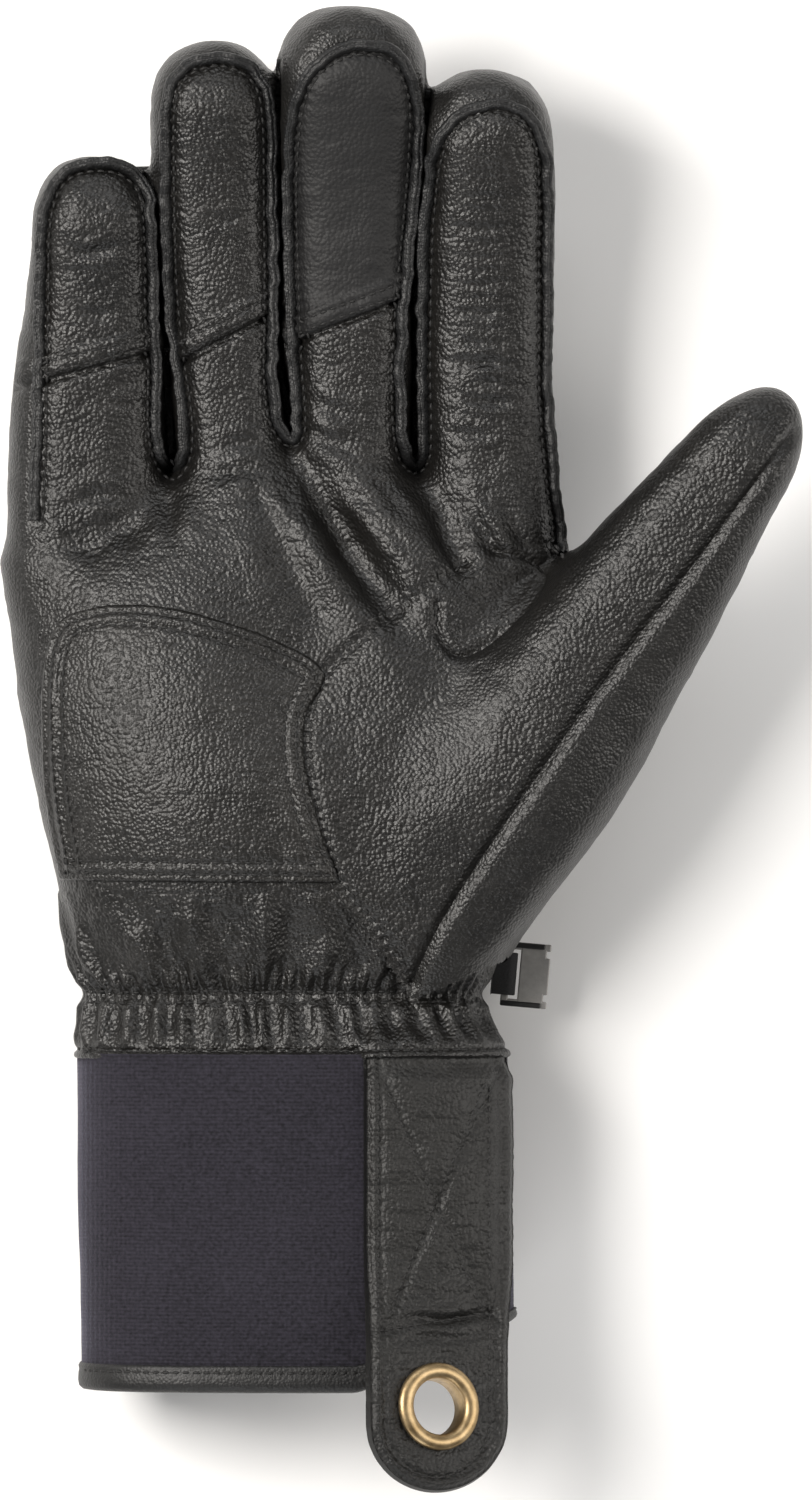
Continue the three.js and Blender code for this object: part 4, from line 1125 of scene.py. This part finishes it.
WELT_SUNK = 0.35
WELT_STEP = 0.55
WELT_LEAN = np.array([0, 0, 0.9])
WELT_STITCHED = -1.05
WELT_PROFILE = np.array((
    (0.55, -0.7), (0.35, 0.1), (0.1, 0.75), (-0.2, 1.15), (-0.6, 1.2), (-0.82, 0.75), (-1.05, 1.1),
    (-1.45, 1.1), (-1.75, 0.75), (-2, 0.1), (-2.1, -1.2))) * (-1, 1)
fine_welt = curve(WELT, WELT_STEP)
welt_path, welt_normal = whole_top(fine_welt)
welt_path[:, 2] -= WELT_SUNK
welt_normal = unit(welt_normal)
for _ in range(8):
    smoothed(welt_path[:, 2])
    smoothed(welt_normal)
welt_up = unit(unit(welt_normal) + WELT_LEAN)
wave = 0.36 * layers(fine_welt, (1, 3.2, 11), (0.5, 1.3, 13))
tall = 1 + layers(fine_welt, (0.26, 1.9, 12))
welt_profile = WELT_PROFILE[None] * np.stack([np.ones_like(tall), tall], -1)[:, None]
welt_profile = welt_profile + np.stack([wave, np.zeros_like(wave)], -1)[:, None]
piece("finger_welts", *sweep(welt_path, welt_up, welt_profile), leathers["welt_leather"], "palm_leather")
stitch_rows("finger_stitching", [offset_line(fine_welt, WELT_STITCHED)], "palm_leather", lift=0.12)

# Stitched seams of the palm: plan lines with the distances of their rows to the left.
CROSS_SEAM_TRIM = 0.1
GUSSET_STITCHED = ((0.345, 0.8), (0.3, 0.775), (0.275, 0.735), (0.272, 0.69), (0.295, 0.655))
seams_on_palm = []
for name in CROSS_SEAMS:
    a, b = cross_seam(name)
    trimmed = np.array([a + (b - a) * CROSS_SEAM_TRIM, a + (b - a) * (1 - CROSS_SEAM_TRIM)])
    seams_on_palm.append((even(trimmed), BAND_STITCHES))
seams_on_palm.append((curve(in_plan(THENAR_SEAM[1:8]), SEAM_STEP), (0.9, -1.6)))
seams_on_palm.append((curve(in_plan(GUSSET_STITCHED), SEAM_STEP), (-0.9, 1.3)))
stitch_rows(
    "palm_stitching", [offset_line(line, by) for line, row in seams_on_palm for by in row], "palm_leather")

# Heel patch: a second layer that rises from its sewn edge, with a welt between two rows of stitches.
PATCH_THICKNESS = 1.3
PATCH_STITCHED = (1.5, 3.9)
patch_closed = closed_line(patch_outline)
centre = palm_smooth[palm_faces].mean(1)[:, :2]
patch_points, patch_faces, patch_used = kept(palm_smooth, palm_faces, inside(centre, patch_outline))
patch_normal = palm_normal[patch_used]
sides = {(int(a), int(b)) for face in patch_faces for a, b in zip(face, np.roll(face, -1))}
open_sides = [(a, b) for a, b in sides if (b, a) not in sides]
rim = np.unique(np.array(open_sides))
_, place = near_line(patch_points[rim, :2], patch_closed)
patch_points[rim, :2] = at_lengths(place, travelled(patch_closed), patch_closed)
patch_points[rim] = on_skin(patch_points[rim])
edge, place = near_line(patch_points[:, :2], patch_closed)
rise = PATCH_THICKNESS * (0.45 + 0.55 * smoothstep(edge / 0.7))
rise -= sum(0.38 * bell(edge, row, 0.55) for row in PATCH_STITCHED)
rise += 0.22 * bell(edge, 2.7, 0.7) + 0.3 * smoothstep((edge - 5) / 8)
palm_relief = relief(patch_points, patch_normal)
patch_skin, under = (
    patch_points + (palm_relief + above)[:, None] * patch_normal for above in (rise, -0.2))
count = len(patch_points)
rim_faces = [[b, a, a + count, b + count] for a, b in open_sides]
piece("heel_patch", np.vstack([patch_skin, under]), patch_faces.tolist() + rim_faces,
      leathers["patch_leather"], "patch_leather", ["heel_patch"])


def shrunk(outline, by):
    """A closed plan outline moved inwards."""
    along = unit(np.roll(outline, -1, axis=0) - np.roll(outline, 1, axis=0))
    x, y = outline.T
    area = np.sum(x * np.roll(y, -1) - y * np.roll(x, -1))
    return outline + math.copysign(by, area) * np.stack([-along[:, 1], along[:, 0]], 1)


stitch_rows("patch_stitching", [closed_line(shrunk(patch_outline, by)) for by in PATCH_STITCHED],
            "patch_leather", tree=tree_of(patch_skin, patch_faces))

# Gathered wrist.

GATHER_PINCHES = 37
GATHER_COLUMNS = 620
WRIST_TOP = 36
WRIST_ROWS = np.concatenate([
    np.linspace(0, 3.4, 12), np.linspace(3.7, 20, 50), np.linspace(20.6, WRIST_TOP, 28)])
WRIST_ROUND = 43
WRIST_WALL = 2.6
WRIST_MIDDLE = (0, 0, 22)
LINING_STEP = 4
ELASTIC_AT = 12.8
ELASTIC_REACH = 7
HEM_EDGE = 1.1
HEM_STITCH = 1.9
TAB_SIDE = 12.5
TAB_UNDER_HEM = 2.4
OFF_FLOOR = 0.05


def off_floor(points):
    """Points kept just above the surface that the glove lies on."""
    points[..., 2] = np.maximum(points[..., 2], OFF_FLOOR)
    return points


def palm_point(y, angle, inset):
    x, z = ring_point(PALM_ROWS, HAND_WIDTH, HAND_DEPTH, y / HAND_LENGTH, angle, inset)
    return np.stack([x, y + 0 * x, np.maximum(z, np.maximum(inset, 0) + 0 * x)], -1)


def evenly_round(count):
    """Angles whose points stand at even steps round the wrist, with their shares of the way."""
    fine = np.linspace(0, math.tau, 4001)
    length = travelled(palm_point(np.full(fine.shape, 12.0), fine, 0))
    share = np.arange(count) / count
    return np.interp(share * length[-1], length, fine), share


def gathers(y, angle, share, outside_x):
    """How far the gathered leather stands out at heights and angles round the wrist."""
    turn = share * math.tau
    circle = np.stack([np.cos(turn) * WRIST_ROUND, np.sin(turn) * WRIST_ROUND, y], -1).reshape(-1, 3)

    def soft(scale, seed, tall=1.0):
        return seeded_noise(circle / (1, 1, tall), scale, seed).reshape(y.shape)

    def rises(start, run):
        return smoothstep((y - start) / run)

    palm_side = np.sin(angle)
    above = np.clip(y - ELASTIC_AT, 0, 20) / 20
    drift = 0.4 * soft(15, 21, 2) + 0.12 * soft(5, 22, 1.5) + 1.9 * np.cos(angle) * palm_side * above
    phase = math.tau * (share * GATHER_PINCHES + drift)
    ridge = 0.5 + 0.5 * np.cos(phase)
    zigzag = 0.5 + 0.5 * np.cos(2 * phase + 1.2)
    half_ridge = (0.5 + 0.5 * np.cos(phase / 2 + 0.8 * soft(18, 24, 3))) ** 1.5
    uneven = 0.75 + 0.45 * soft(11, 23, 4)
    below_elastic = rises(HEM_EDGE, 5.5) * (1 - rises(ELASTIC_AT - 2.6, 2.4))
    over_elastic = rises(ELASTIC_AT + 0.5, 2.2)
    short_folds = over_elastic * (1 - rises(ELASTIC_AT + 2, 6))
    long_folds = over_elastic * rises(ELASTIC_AT + 1, 5) * (1 - smoothstep((y - 22 - 7 * soft(16, 25)) / 12))
    tab_side = smoothstep((outside_x - TAB_SIDE) / 4.5) * smoothstep(palm_side / 0.3)
    return (
        -1.1 * bell(y, ELASTIC_AT, ELASTIC_REACH)
        + 1.75 * uneven * below_elastic * (ridge**1.2 - 0.35)
        - bell(y, ELASTIC_AT, 1.5) * (0.5 + 0.75 * (1 - zigzag))
        + 1.2 * uneven * short_folds * (zigzag - 0.4)
        + 2.1 * uneven * long_folds * (half_ridge - 0.3)
        + 0.3 * soft(4, 26) + 0.22 * soft(2.2, 27, 1.4) * rises(3, 3)
        - 0.45 * bell(y, HEM_STITCH, 0.6)
        + 0.35 * (1 - rises(HEM_EDGE, 0.8))
        - 0.9 * np.clip(1 - y / 0.5, 0, 1) ** 2
        + TAB_UNDER_HEM * tab_side * (1 - rises(1, 8))
        - 1.6 * rises(33, 3)
    )


def wrist_leather():
    """The gathered skin, the lining and the lip that joins them."""
    angles, share = evenly_round(GATHER_COLUMNS)
    y, angle = np.meshgrid(WRIST_ROWS, angles, indexing="ij")
    outside = palm_point(y, angle, 0)
    stand = gathers(y, angle, np.broadcast_to(share, y.shape), outside[..., 0])
    normal = unit(np.cross(np.gradient(outside, axis=1), np.gradient(outside, axis=0)))
    outward = np.sum(normal * (outside - WRIST_MIDDLE), -1).mean()
    skin_points = off_floor(outside + stand[..., None] * normal * np.where(outward < 0, -1, 1))
    sparse = angles[::LINING_STEP]
    lining = palm_point(*np.meshgrid(np.linspace(WRIST_TOP, 0, 20), sparse, indexing="ij"), WRIST_WALL)
    lip = np.concatenate([skin_points[0][::LINING_STEP], lining[-1]])
    parts = [
        (grid.reshape(-1, 3), grid_faces(*grid.shape[:2], closed=True)[:, ::-1])
        for grid in (skin_points, lining)]
    return [*parts, (lip, grid_faces(2, len(sparse), closed=True))]


wrist_parts = wrist_leather()
piece("wrist_gather", *joined(wrist_parts), leathers["palm_leather"], "palm_leather", ["wrist_gather"])

# Rows of stitches round the wrist: height above the hem, and where they start and end across.
WRIST_STITCHED = ((HEM_STITCH, -43, 43), (ELASTIC_AT + 0.8, -41, 30), (ELASTIC_AT - 1.4, -41, 34))
wrist_seams = []
for height, start, end in WRIST_STITCHED:
    x = np.arange(start, end, 0.5)
    wrist_seams.append(np.stack([x, height + layers(np.stack([x, x * 0], 1), (0.25, 7, 31))], 1))
stitch_rows("wrist_stitching", wrist_seams, "palm_leather", tree=tree_of(*wrist_parts[0]), lift=0.0)

# Cuff and binding.

CUFF_COLUMNS = 260
CUFF_AXIS = np.array([0.5, 0, 23.0])
CUFF_HEM = 0.004
CUFF_TUCKED = 1.2
BINDING_COLUMNS = 300
BINDING_HEIGHT = 5
BINDING_WALL = 1.2
BINDING_STITCHED = 3.7


def wavered(points, *terms):
    """Points round the cuff moved a little away from its axis or towards it, but not into the floor."""
    away = unit((points - CUFF_AXIS) * (1, 0, 1))
    return off_floor(points + layers(points, *terms)[:, None] * away)


def cuff_sleeve():
    """The outside and the inside of the cuff, whose hem is tucked into the wrist."""
    angles = round_angles(CUFF_COLUMNS)
    at = np.linspace(-0.02, 0.975, 90)
    at_grid, angle = np.meshgrid(at, angles, indexing="ij")
    outside = cuff_point(np.maximum(at_grid, CUFF_HEM), angle, 0)
    outside[..., 1] = np.where(at_grid < CUFF_HEM, CUFF_TUCKED, outside[..., 1])
    inside_at, inside_angle = np.meshgrid(at[::3], angles, indexing="ij")
    inner = cuff_point(np.maximum(inside_at, CUFF_HEM), inside_angle, CUFF_WALL)
    return [
        (wavered(outside.reshape(-1, 3), (0.35, 24, 41), (0.12, 7, 42)),
         grid_faces(len(at), CUFF_COLUMNS, closed=True)),
        (inner.reshape(-1, 3), grid_faces(len(inside_at), CUFF_COLUMNS, closed=True)[:, ::-1]),
    ]


def cuff_binding():
    """Leather folded over the mouth of the cuff, from its sewn edge outside to the one inside."""
    angles = round_angles(BINDING_COLUMNS)
    top = 1 - BINDING_HEIGHT / CUFF_LENGTH
    inside_wall = CUFF_WALL + BINDING_WALL
    # Shares of the cuff's length, and insets from its outside.
    profile = [
        (top - 0.002, -0.1), (top, -0.35), (top + 0.008, -0.6), (top + 0.02, -0.45), (top + 0.03, -0.6),
        (0.975, -0.7), (0.993, -0.5), (1.003, 0.2), (1.006, CUFF_WALL * 0.5), (1.003, CUFF_WALL),
        (0.99, CUFF_WALL + BINDING_WALL * 0.8), (0.97, inside_wall), (top, inside_wall),
        (top, CUFF_WALL + 0.3)]
    hoop = np.vstack([cuff_point(np.full(BINDING_COLUMNS, at), angles, inset) for at, inset in profile])
    return wavered(hoop, (0.16, 5, 43)), grid_faces(len(profile), BINDING_COLUMNS, closed=True)


piece("cuff", *joined(cuff_sleeve()), cuff_knit, "cuff_knit", ["cuff"])
binding = cuff_binding()
piece("cuff_binding", *binding, leathers["binding_leather"], "binding_leather", ["cuff_binding"])
mouth = cuff_point(
    np.full(200, 1 - BINDING_STITCHED / CUFF_LENGTH), np.linspace(math.pi * 0.9, math.pi * 0.1, 200),
    -BINDING_WALL)
stitch_rows("binding_stitching", [mouth[:, :2]], "binding_leather", tree=tree_of(*binding))

# Pull tab and eyelet.

TAB_LENGTH = 84.4
TAB_WIDTH = 27.4
TAB_HALF = TAB_WIDTH / 2
TAB_THICKNESS = 3
TAB_X = 29
TAB_HEIGHT = 45.2
TAB_TILT = math.radians(25)
TAB_LIFT = math.radians(9)
TAB_TOP = 0.6
TAB_END = -1 - TAB_LENGTH
TAB_EDGE_SEAM = 2.6
EYELET_OUTER = 8.8
EYELET_HOLE = 5.6
EYELET_BARREL = 0.8
EYELET_INSET = 16.4
EYELET_Y = TAB_END + EYELET_INSET
EYELET_SEGMENTS = 96
ROLL_HEIGHT = 1.15
ROLL_RISE = 0.35
# Creases across the tab: a line in plan with its width and depth, and the height of its lips.
TAB_CREASES = (
    (((17, -52.5), (24, -51), (31, -51.6), (41, -49.6)), 0.9, 0.8, 0.4),
    (((17, -47), (24, -46), (33, -46.5)), 0.8, 0.3, 0.2),
    (((26, -39), (33, -38.2), (41, -38.6)), 0.9, 0.2, 0.15),
    (((17, -31), (23, -30.6), (30, -31.4)), 0.8, 0.16, 0.12),
    (((18, -56), (25, -55), (33, -55.4), (41, -53.2)), 0.8, 0.35, 0.2),
)
# The X sewn over the tab and the row across its foot.
TAB_LEFT, TAB_RIGHT = TAB_X - TAB_HALF + 3.6, TAB_X + TAB_HALF - 3.2
TAB_CROSS_LINES = [even(np.array(ends)) for ends in (
    ((TAB_LEFT, -4), (TAB_RIGHT - 0.5, -51)),
    ((TAB_RIGHT, -4), (TAB_LEFT + 0.5, -52)),
    ((TAB_LEFT - 1, -53.6), (TAB_RIGHT, -50.6)),
)]


def tab_underside(x, y):
    """Height of the tab's underside, which lies on the cuff and rises from it in a flat end."""
    middle_x, middle_z, half_width, half_depth = body_section(
        CUFF_ROWS, CUFF_WIDTH, CUFF_DEPTH, -y / CUFF_LENGTH, -CLEARANCE)
    u = np.minimum(np.abs(x - middle_x) / half_width, 0.985)
    on_cuff = middle_z + half_depth * (1 - u**PALM_SQUARENESS) ** (1 / PALM_SQUARENESS)
    free = TAB_HEIGHT - math.tan(TAB_TILT) * (x - TAB_X) + math.tan(TAB_LIFT) * (-y - 0.66 * CUFF_LENGTH)
    ease = smoothstep((-y / CUFF_LENGTH - 0.55) / 0.32)
    return on_cuff * (1 - ease) + free * ease


def tab_outline(inset, step=SEAM_STEP, past=-4):
    """The tab's sides and round end in plan, moved inwards, from its left top round to its right top."""
    radius = TAB_HALF - inset
    turn = np.linspace(math.pi, math.tau, 60)
    end = np.stack([TAB_X + radius * np.cos(turn), TAB_END + TAB_HALF + radius * np.sin(turn)], 1)
    return even(np.vstack([[(TAB_X - radius, past)], end, [(TAB_X + radius, past)]]), step)


def tab_thickness(flat):
    """Thickness of the tab at plan points, with its seams, creases and ripples."""
    edge, _ = near_line(flat, tab_outline(0, 2, 6))
    thick = TAB_THICKNESS - 1.9 * smoothstep((flat[:, 1] + 4.5) / 4.5)
    thick += 0.25 * bell(edge, 1.4, 0.6) - 0.9 * bell(edge, 0, 0.9) - 0.42 * bell(edge, TAB_EDGE_SEAM, 0.6)
    thick += layers(flat * (1, 2.2), (0.2, 7, 51)) + layers(flat * (0.7, 2.4), (0.13, 2.6, 52))
    thick += layers(flat * (0.5, 2.6), (0.16, 3.4, 53)) * seeded_noise(flat, 11, 54)
    for line, width, depth, lip in TAB_CREASES:
        thick += fold(flat, curve(line, 1.5), width, depth, lip, fade=(2, 0.1), lip_at=2, lip_wide=1)
    for line in TAB_CROSS_LINES:
        distance, _ = near_line(flat, line)
        thick -= 0.5 * bell(distance, 0, 0.6) + 0.35 * bell(distance, 0, 2.6)
    return thick


def pull_tab():
    """The tab as a closed shell round the eyelet's hole, and its top with the faces of the top alone."""
    straight = np.linspace(TAB_TOP, TAB_END + TAB_HALF, 150)
    turn = np.radians(np.linspace(1, 88, 60))
    stations = np.concatenate([straight, TAB_END + TAB_HALF - TAB_HALF * np.sin(turn)])
    widths = np.concatenate([np.ones(len(straight)), np.cos(turn)])
    across = np.linspace(-1, 1, 61)
    x = np.stack([TAB_X + TAB_HALF * w * across for w in widths])
    y = np.repeat(stations[:, None], len(across), 1)
    slope = (tab_underside(x + 0.2, y) - tab_underside(x - 0.2, y)) / 0.4
    out = unit(np.stack([-slope, 0 * slope, np.ones_like(slope)], -1)).reshape(-1, 3)
    flat = np.stack([x, y], -1).reshape(-1, 2)
    under = np.stack([x, y, tab_underside(x, y)], -1).reshape(-1, 3) + CLEARANCE * out
    over = under + tab_thickness(flat)[:, None] * out
    radius = np.hypot(flat[:, 0] - TAB_X, flat[:, 1] - EYELET_Y)
    n, m = y.shape
    quads = grid_faces(n, m)
    quads = quads[radius[quads].min(1) > EYELET_HOLE + EYELET_BARREL + 0.4]
    # The rim runs down one side of the grid, round the end and back, and bulges a little.
    loop = [(r, 0) for r in range(n)] + [(n - 1, c) for c in range(1, m)]
    loop += [(r, m - 1) for r in range(n - 2, -1, -1)] + [(0, c) for c in range(m - 2, 0, -1)]
    ids = np.array([r * m + c for r, c in loop])
    spine = np.stack([np.full(len(ids), TAB_X), np.clip(flat[ids, 1], TAB_END + TAB_HALF, -8)], 1)
    bulge = over[ids] * 0.5 + under[ids] * 0.5
    bulge[:, :2] += 0.5 * unit(flat[ids] - spine)
    following = np.roll(ids, -1)
    here = 2 * n * m + np.arange(len(ids))
    ahead = np.roll(here, -1)
    faces = np.vstack([
        quads[:, ::-1], quads + n * m, np.stack([ids, following, ahead, here], 1),
        np.stack([here, ahead, following + n * m, ids + n * m], 1)])
    return np.vstack([over, under, bulge]), faces, over, quads[:, ::-1]


tab_points, tab_faces, tab_top, tab_top_faces = pull_tab()
piece("pull_tab", tab_points, tab_faces, leathers["tab_leather"], "tab_leather", ["pull_tab"])
stitch_rows("tab_stitching", [tab_outline(TAB_EDGE_SEAM), *TAB_CROSS_LINES], "tab_leather",
            tree=tree_of(tab_top, tab_top_faces), lift=0.02)


def eyelet():
    """Rolled eyelet turned round its axis, then laid in the tilted end of the tab."""
    face = TAB_THICKNESS / 2 + CLEARANCE
    middle, half = (EYELET_HOLE + EYELET_OUTER) / 2, (EYELET_OUTER - EYELET_HOLE) / 2
    turn = np.radians(np.linspace(-25, 205, 26))
    # Radius and height: the roll on top, the bore, the lower flange and the barrel.
    profile = [(middle + half * math.cos(a), face + ROLL_RISE + ROLL_HEIGHT * math.sin(a)) for a in turn]
    profile += [
        (EYELET_HOLE, face - 0.5), (EYELET_HOLE, 0), (EYELET_HOLE, -face - 0.5),
        (EYELET_HOLE + 0.25, -face - 0.8), (EYELET_OUTER - 1, -face - 0.7),
        (EYELET_OUTER - 0.8, -face - 0.4), (EYELET_OUTER - 0.9, -face),
        (EYELET_HOLE + EYELET_BARREL, -face), (EYELET_HOLE + EYELET_BARREL, face)]
    angles = round_angles(EYELET_SEGMENTS)
    points = np.vstack([
        np.stack([r * np.cos(angles), r * np.sin(angles), np.full(len(angles), h)], -1) for r, h in profile])
    cos, sin = math.cos(-TAB_LIFT), math.sin(-TAB_LIFT)
    about_x = np.array([[1, 0, 0], [0, cos, -sin], [0, sin, cos]])
    cos, sin = math.cos(TAB_TILT), math.sin(TAB_TILT)
    about_y = np.array([[cos, 0, sin], [0, 1, 0], [-sin, 0, cos]])
    tilted = about_x @ about_y
    place = np.array([TAB_X, EYELET_Y, float(tab_underside(np.array(TAB_X), np.array(EYELET_Y)))])
    place[2] += face / tilted[2, 2]
    # The last ring of the profile meets the first.
    faces = grid_faces(len(profile) + 1, EYELET_SEGMENTS, closed=True) % len(points)
    return points @ tilted.T + place, faces


piece("eyelet", *eyelet(), eyelet_brass, "eyelet_brass", ["eyelet"])

# Glove clip.

CLIP_LENGTH = 9.4
CLIP_HALF = 6.5
CLIP_THICKNESS = 1.8
CLIP_BAR = 1.5
CLIP_SLOT = 1.9
CLIP_NOTCH = 1.4
NOTCH_DEPTH = 0.8
CLIP_HEIGHT = 13
CLIP_TURN = math.radians(-5)
CLIP_SHARE = 0.136
SIDE_OVERLAP = 0.2
SIDE_SUNK = 0.01
RAIL_WIDTH = 1.1
RAIL_SHORT = 1.2
RAIL_RISE = 0.9
GATHER_DEPTH = 2.2
WEBBING_WIDTH = 8.6
WEBBING_THICKNESS = 1.0
WEBBING_REACH = 2.1
WEBBING_BOW = 1.2


def prism(outline, low, high):
    """An upright block over a plan outline."""
    n = len(outline)
    points = [(x, y, z) for z in (low, high) for x, y in outline]
    faces = [list(range(n))[::-1], list(range(n, 2 * n))]
    faces += [[k, (k + 1) % n, n + (k + 1) % n, n + k] for k in range(n)]
    return np.array(points, float), faces


def rectangle(x0, y0, x1, y1):
    return [(x0, y0), (x1, y0), (x1, y1), (x0, y1)]


def on_wrist(points):
    """From the clip's own axes to the glove's."""
    middle_x, _, half_width, _ = body_section(PALM_ROWS, HAND_WIDTH, HAND_DEPTH, CLIP_SHARE, 0)
    place = (float(middle_x + half_width) + GATHER_DEPTH, CLIP_SHARE * HAND_LENGTH, CLIP_HEIGHT)
    cos, sin = math.cos(CLIP_TURN), math.sin(CLIP_TURN)
    return points @ np.array([[cos, sin, 0], [-sin, cos, 0], [0, 0, 1]]) + place


def bevelled(thing, width, segments=2):
    modifier = thing.modifiers.new("edges", "BEVEL")
    modifier.width = width
    modifier.segments = segments
    modifier.limit_method = "ANGLE"


def clip_loop():
    """Webbing that comes out of the wrist, round the bar of the clip and back."""
    middle = CLIP_THICKNESS / 2
    reach = CLIP_BAR + CLEARANCE + WEBBING_THICKNESS / 2
    radius = middle + CLEARANCE + WEBBING_THICKNESS / 2
    turn = np.radians(np.linspace(-90, 90, 13))
    bow = [(reach - WEBBING_BOW + WEBBING_BOW * math.cos(a), middle + radius * math.sin(a)) for a in turn]
    line = even(np.array([(-WEBBING_REACH, middle - radius), *bow, (-WEBBING_REACH, middle + radius)]), 0.3)
    path = np.stack([line[:, 0], 0 * line[:, 0], line[:, 1]], 1)
    width, thick = WEBBING_WIDTH / 2, WEBBING_THICKNESS / 2
    profile = [(-width, -thick), (-width, thick), (width, thick), (width, -thick)]
    up = unit(np.cross(directions(path), np.array([0.0, 1.0, 0.0])))
    return sweep(path, up, profile)


slot_end = CLIP_BAR + CLIP_SLOT
notched = CLIP_LENGTH - NOTCH_DEPTH
half_outline = [
    (slot_end, -CLIP_HALF), (CLIP_LENGTH, -CLIP_HALF), (CLIP_LENGTH, -CLIP_HALF + CLIP_NOTCH),
    (notched, -CLIP_HALF + CLIP_NOTCH), (notched, -CLIP_HALF + 2 * CLIP_NOTCH),
    (CLIP_LENGTH, -CLIP_HALF + 2 * CLIP_NOTCH)]
outline = half_outline + [(x, -y) for x, y in reversed(half_outline)]
slot_half = WEBBING_WIDTH / 2 + 2 * CLEARANCE
plate, plate_faces = joined([
    prism(outline, 0, CLIP_THICKNESS),
    prism(rectangle(0, -CLIP_HALF, CLIP_BAR, CLIP_HALF), 0, CLIP_THICKNESS),
    *(prism(rectangle(CLIP_BAR - SIDE_OVERLAP, low, slot_end + SIDE_OVERLAP, high),
            SIDE_SUNK, CLIP_THICKNESS - SIDE_SUNK)
      for low, high in ((slot_half, CLIP_HALF), (-CLIP_HALF, -slot_half))),
])
rails, rail_faces = joined([
    prism(rectangle(0, y, CLIP_LENGTH - RAIL_SHORT, y + RAIL_WIDTH),
          CLIP_THICKNESS / 2, CLIP_THICKNESS + RAIL_RISE)
    for y in (-CLIP_HALF, CLIP_HALF - RAIL_WIDTH)])
loop, loop_faces = clip_loop()
clip_plate = piece(
    "clip_plate", on_wrist(plate), plate_faces, clip_metal, "clip_metal", ["clip_plate"], smooth=False)
bevelled(clip_plate, 0.00025)
bevelled(piece("clip_rails", on_wrist(rails), rail_faces, clip_rail, "clip_metal", smooth=False), 0.0003, 3)
bevelled(piece("clip_loop", on_wrist(loop), loop_faces, webbing, "clip_webbing", ["clip_loop"]), 0.0002)


# Floor, light and camera, in metres.

PHOTO_CENTRE = (23.4, 62.0)
CAMERA_HEIGHT = 3
SHARP_HEIGHT = 0.025
FIELD_HEIGHT = 0.3015
SENSOR = 36
FLOOR_HALF = 4000
WARM = (1, 0.965, 0.92)
WHITE = (1, 1, 1)
AMBIENT = 0.1
# Lamps that aim at the middle of the glove: place, size, power in watts and colour.
LAMPS = {
    "key": ((-0.72, 0.26, 1.02), (0.5, 0.7), 20, WARM),
    "right": ((0.95, 0, 0.6), (0.4, 0.9), 6.5, WARM),
    "front": ((-0.2, -0.95, 0.55), (0.9, 0.3), 3.6, WHITE),
    "back": ((0.1, 0.95, 0.75), (0.9, 0.3), 4, WHITE),
}


def floor_material():
    material, tree, shader, place = new_material("floor", Roughness=0.75, Specular_IOR_Level=0.3)
    mottle = texture(tree, "Noise", place, 25, Detail=3)
    coloured(tree, shader, mottle.outputs["Fac"], (0.3, (0.93, 0.93, 0.93)), (0.7, (0.95, 0.95, 0.95)))
    return material


def lamp(name, place, size, power, colour):
    data = bpy.data.lights.new(name, "AREA")
    data.shape = "RECTANGLE"
    data.size, data.size_y = size
    data.energy = power
    data.color = colour
    thing = bpy.data.objects.new(name, data)
    thing.location = place
    thing.rotation_euler = (Vector((0, 0, 0)) - Vector(place)).to_track_quat("-Z", "Y").to_euler()
    bpy.context.scene.collection.objects.link(thing)


corners = [(x, y, 0) for x, y in rectangle(-FLOOR_HALF, -FLOOR_HALF, FLOOR_HALF, FLOOR_HALF)]
floor = mesh_object("floor", corners, [(0, 1, 2, 3)], floor_material(), smooth=False)

scene = bpy.context.scene
world = bpy.data.worlds.new("studio")
world.use_nodes = True
background = world.node_tree.nodes["Background"]
background.inputs["Color"].default_value = (*WHITE, 1)
background.inputs["Strength"].default_value = AMBIENT
scene.world = world
for name, values in LAMPS.items():
    lamp(name, *values)

camera_data = bpy.data.cameras.new("camera")
camera_data.sensor_width = SENSOR
camera_data.lens = SENSOR * (CAMERA_HEIGHT - SHARP_HEIGHT) / FIELD_HEIGHT
camera = bpy.data.objects.new("camera", camera_data)
camera.location = Vector(to_frame((*PHOTO_CENTRE, 0))) + Vector((0, 0, CAMERA_HEIGHT))
scene.collection.objects.link(camera)
scene.camera = camera
scene.view_settings.view_transform = "Standard"
scene.view_settings.look = "None"
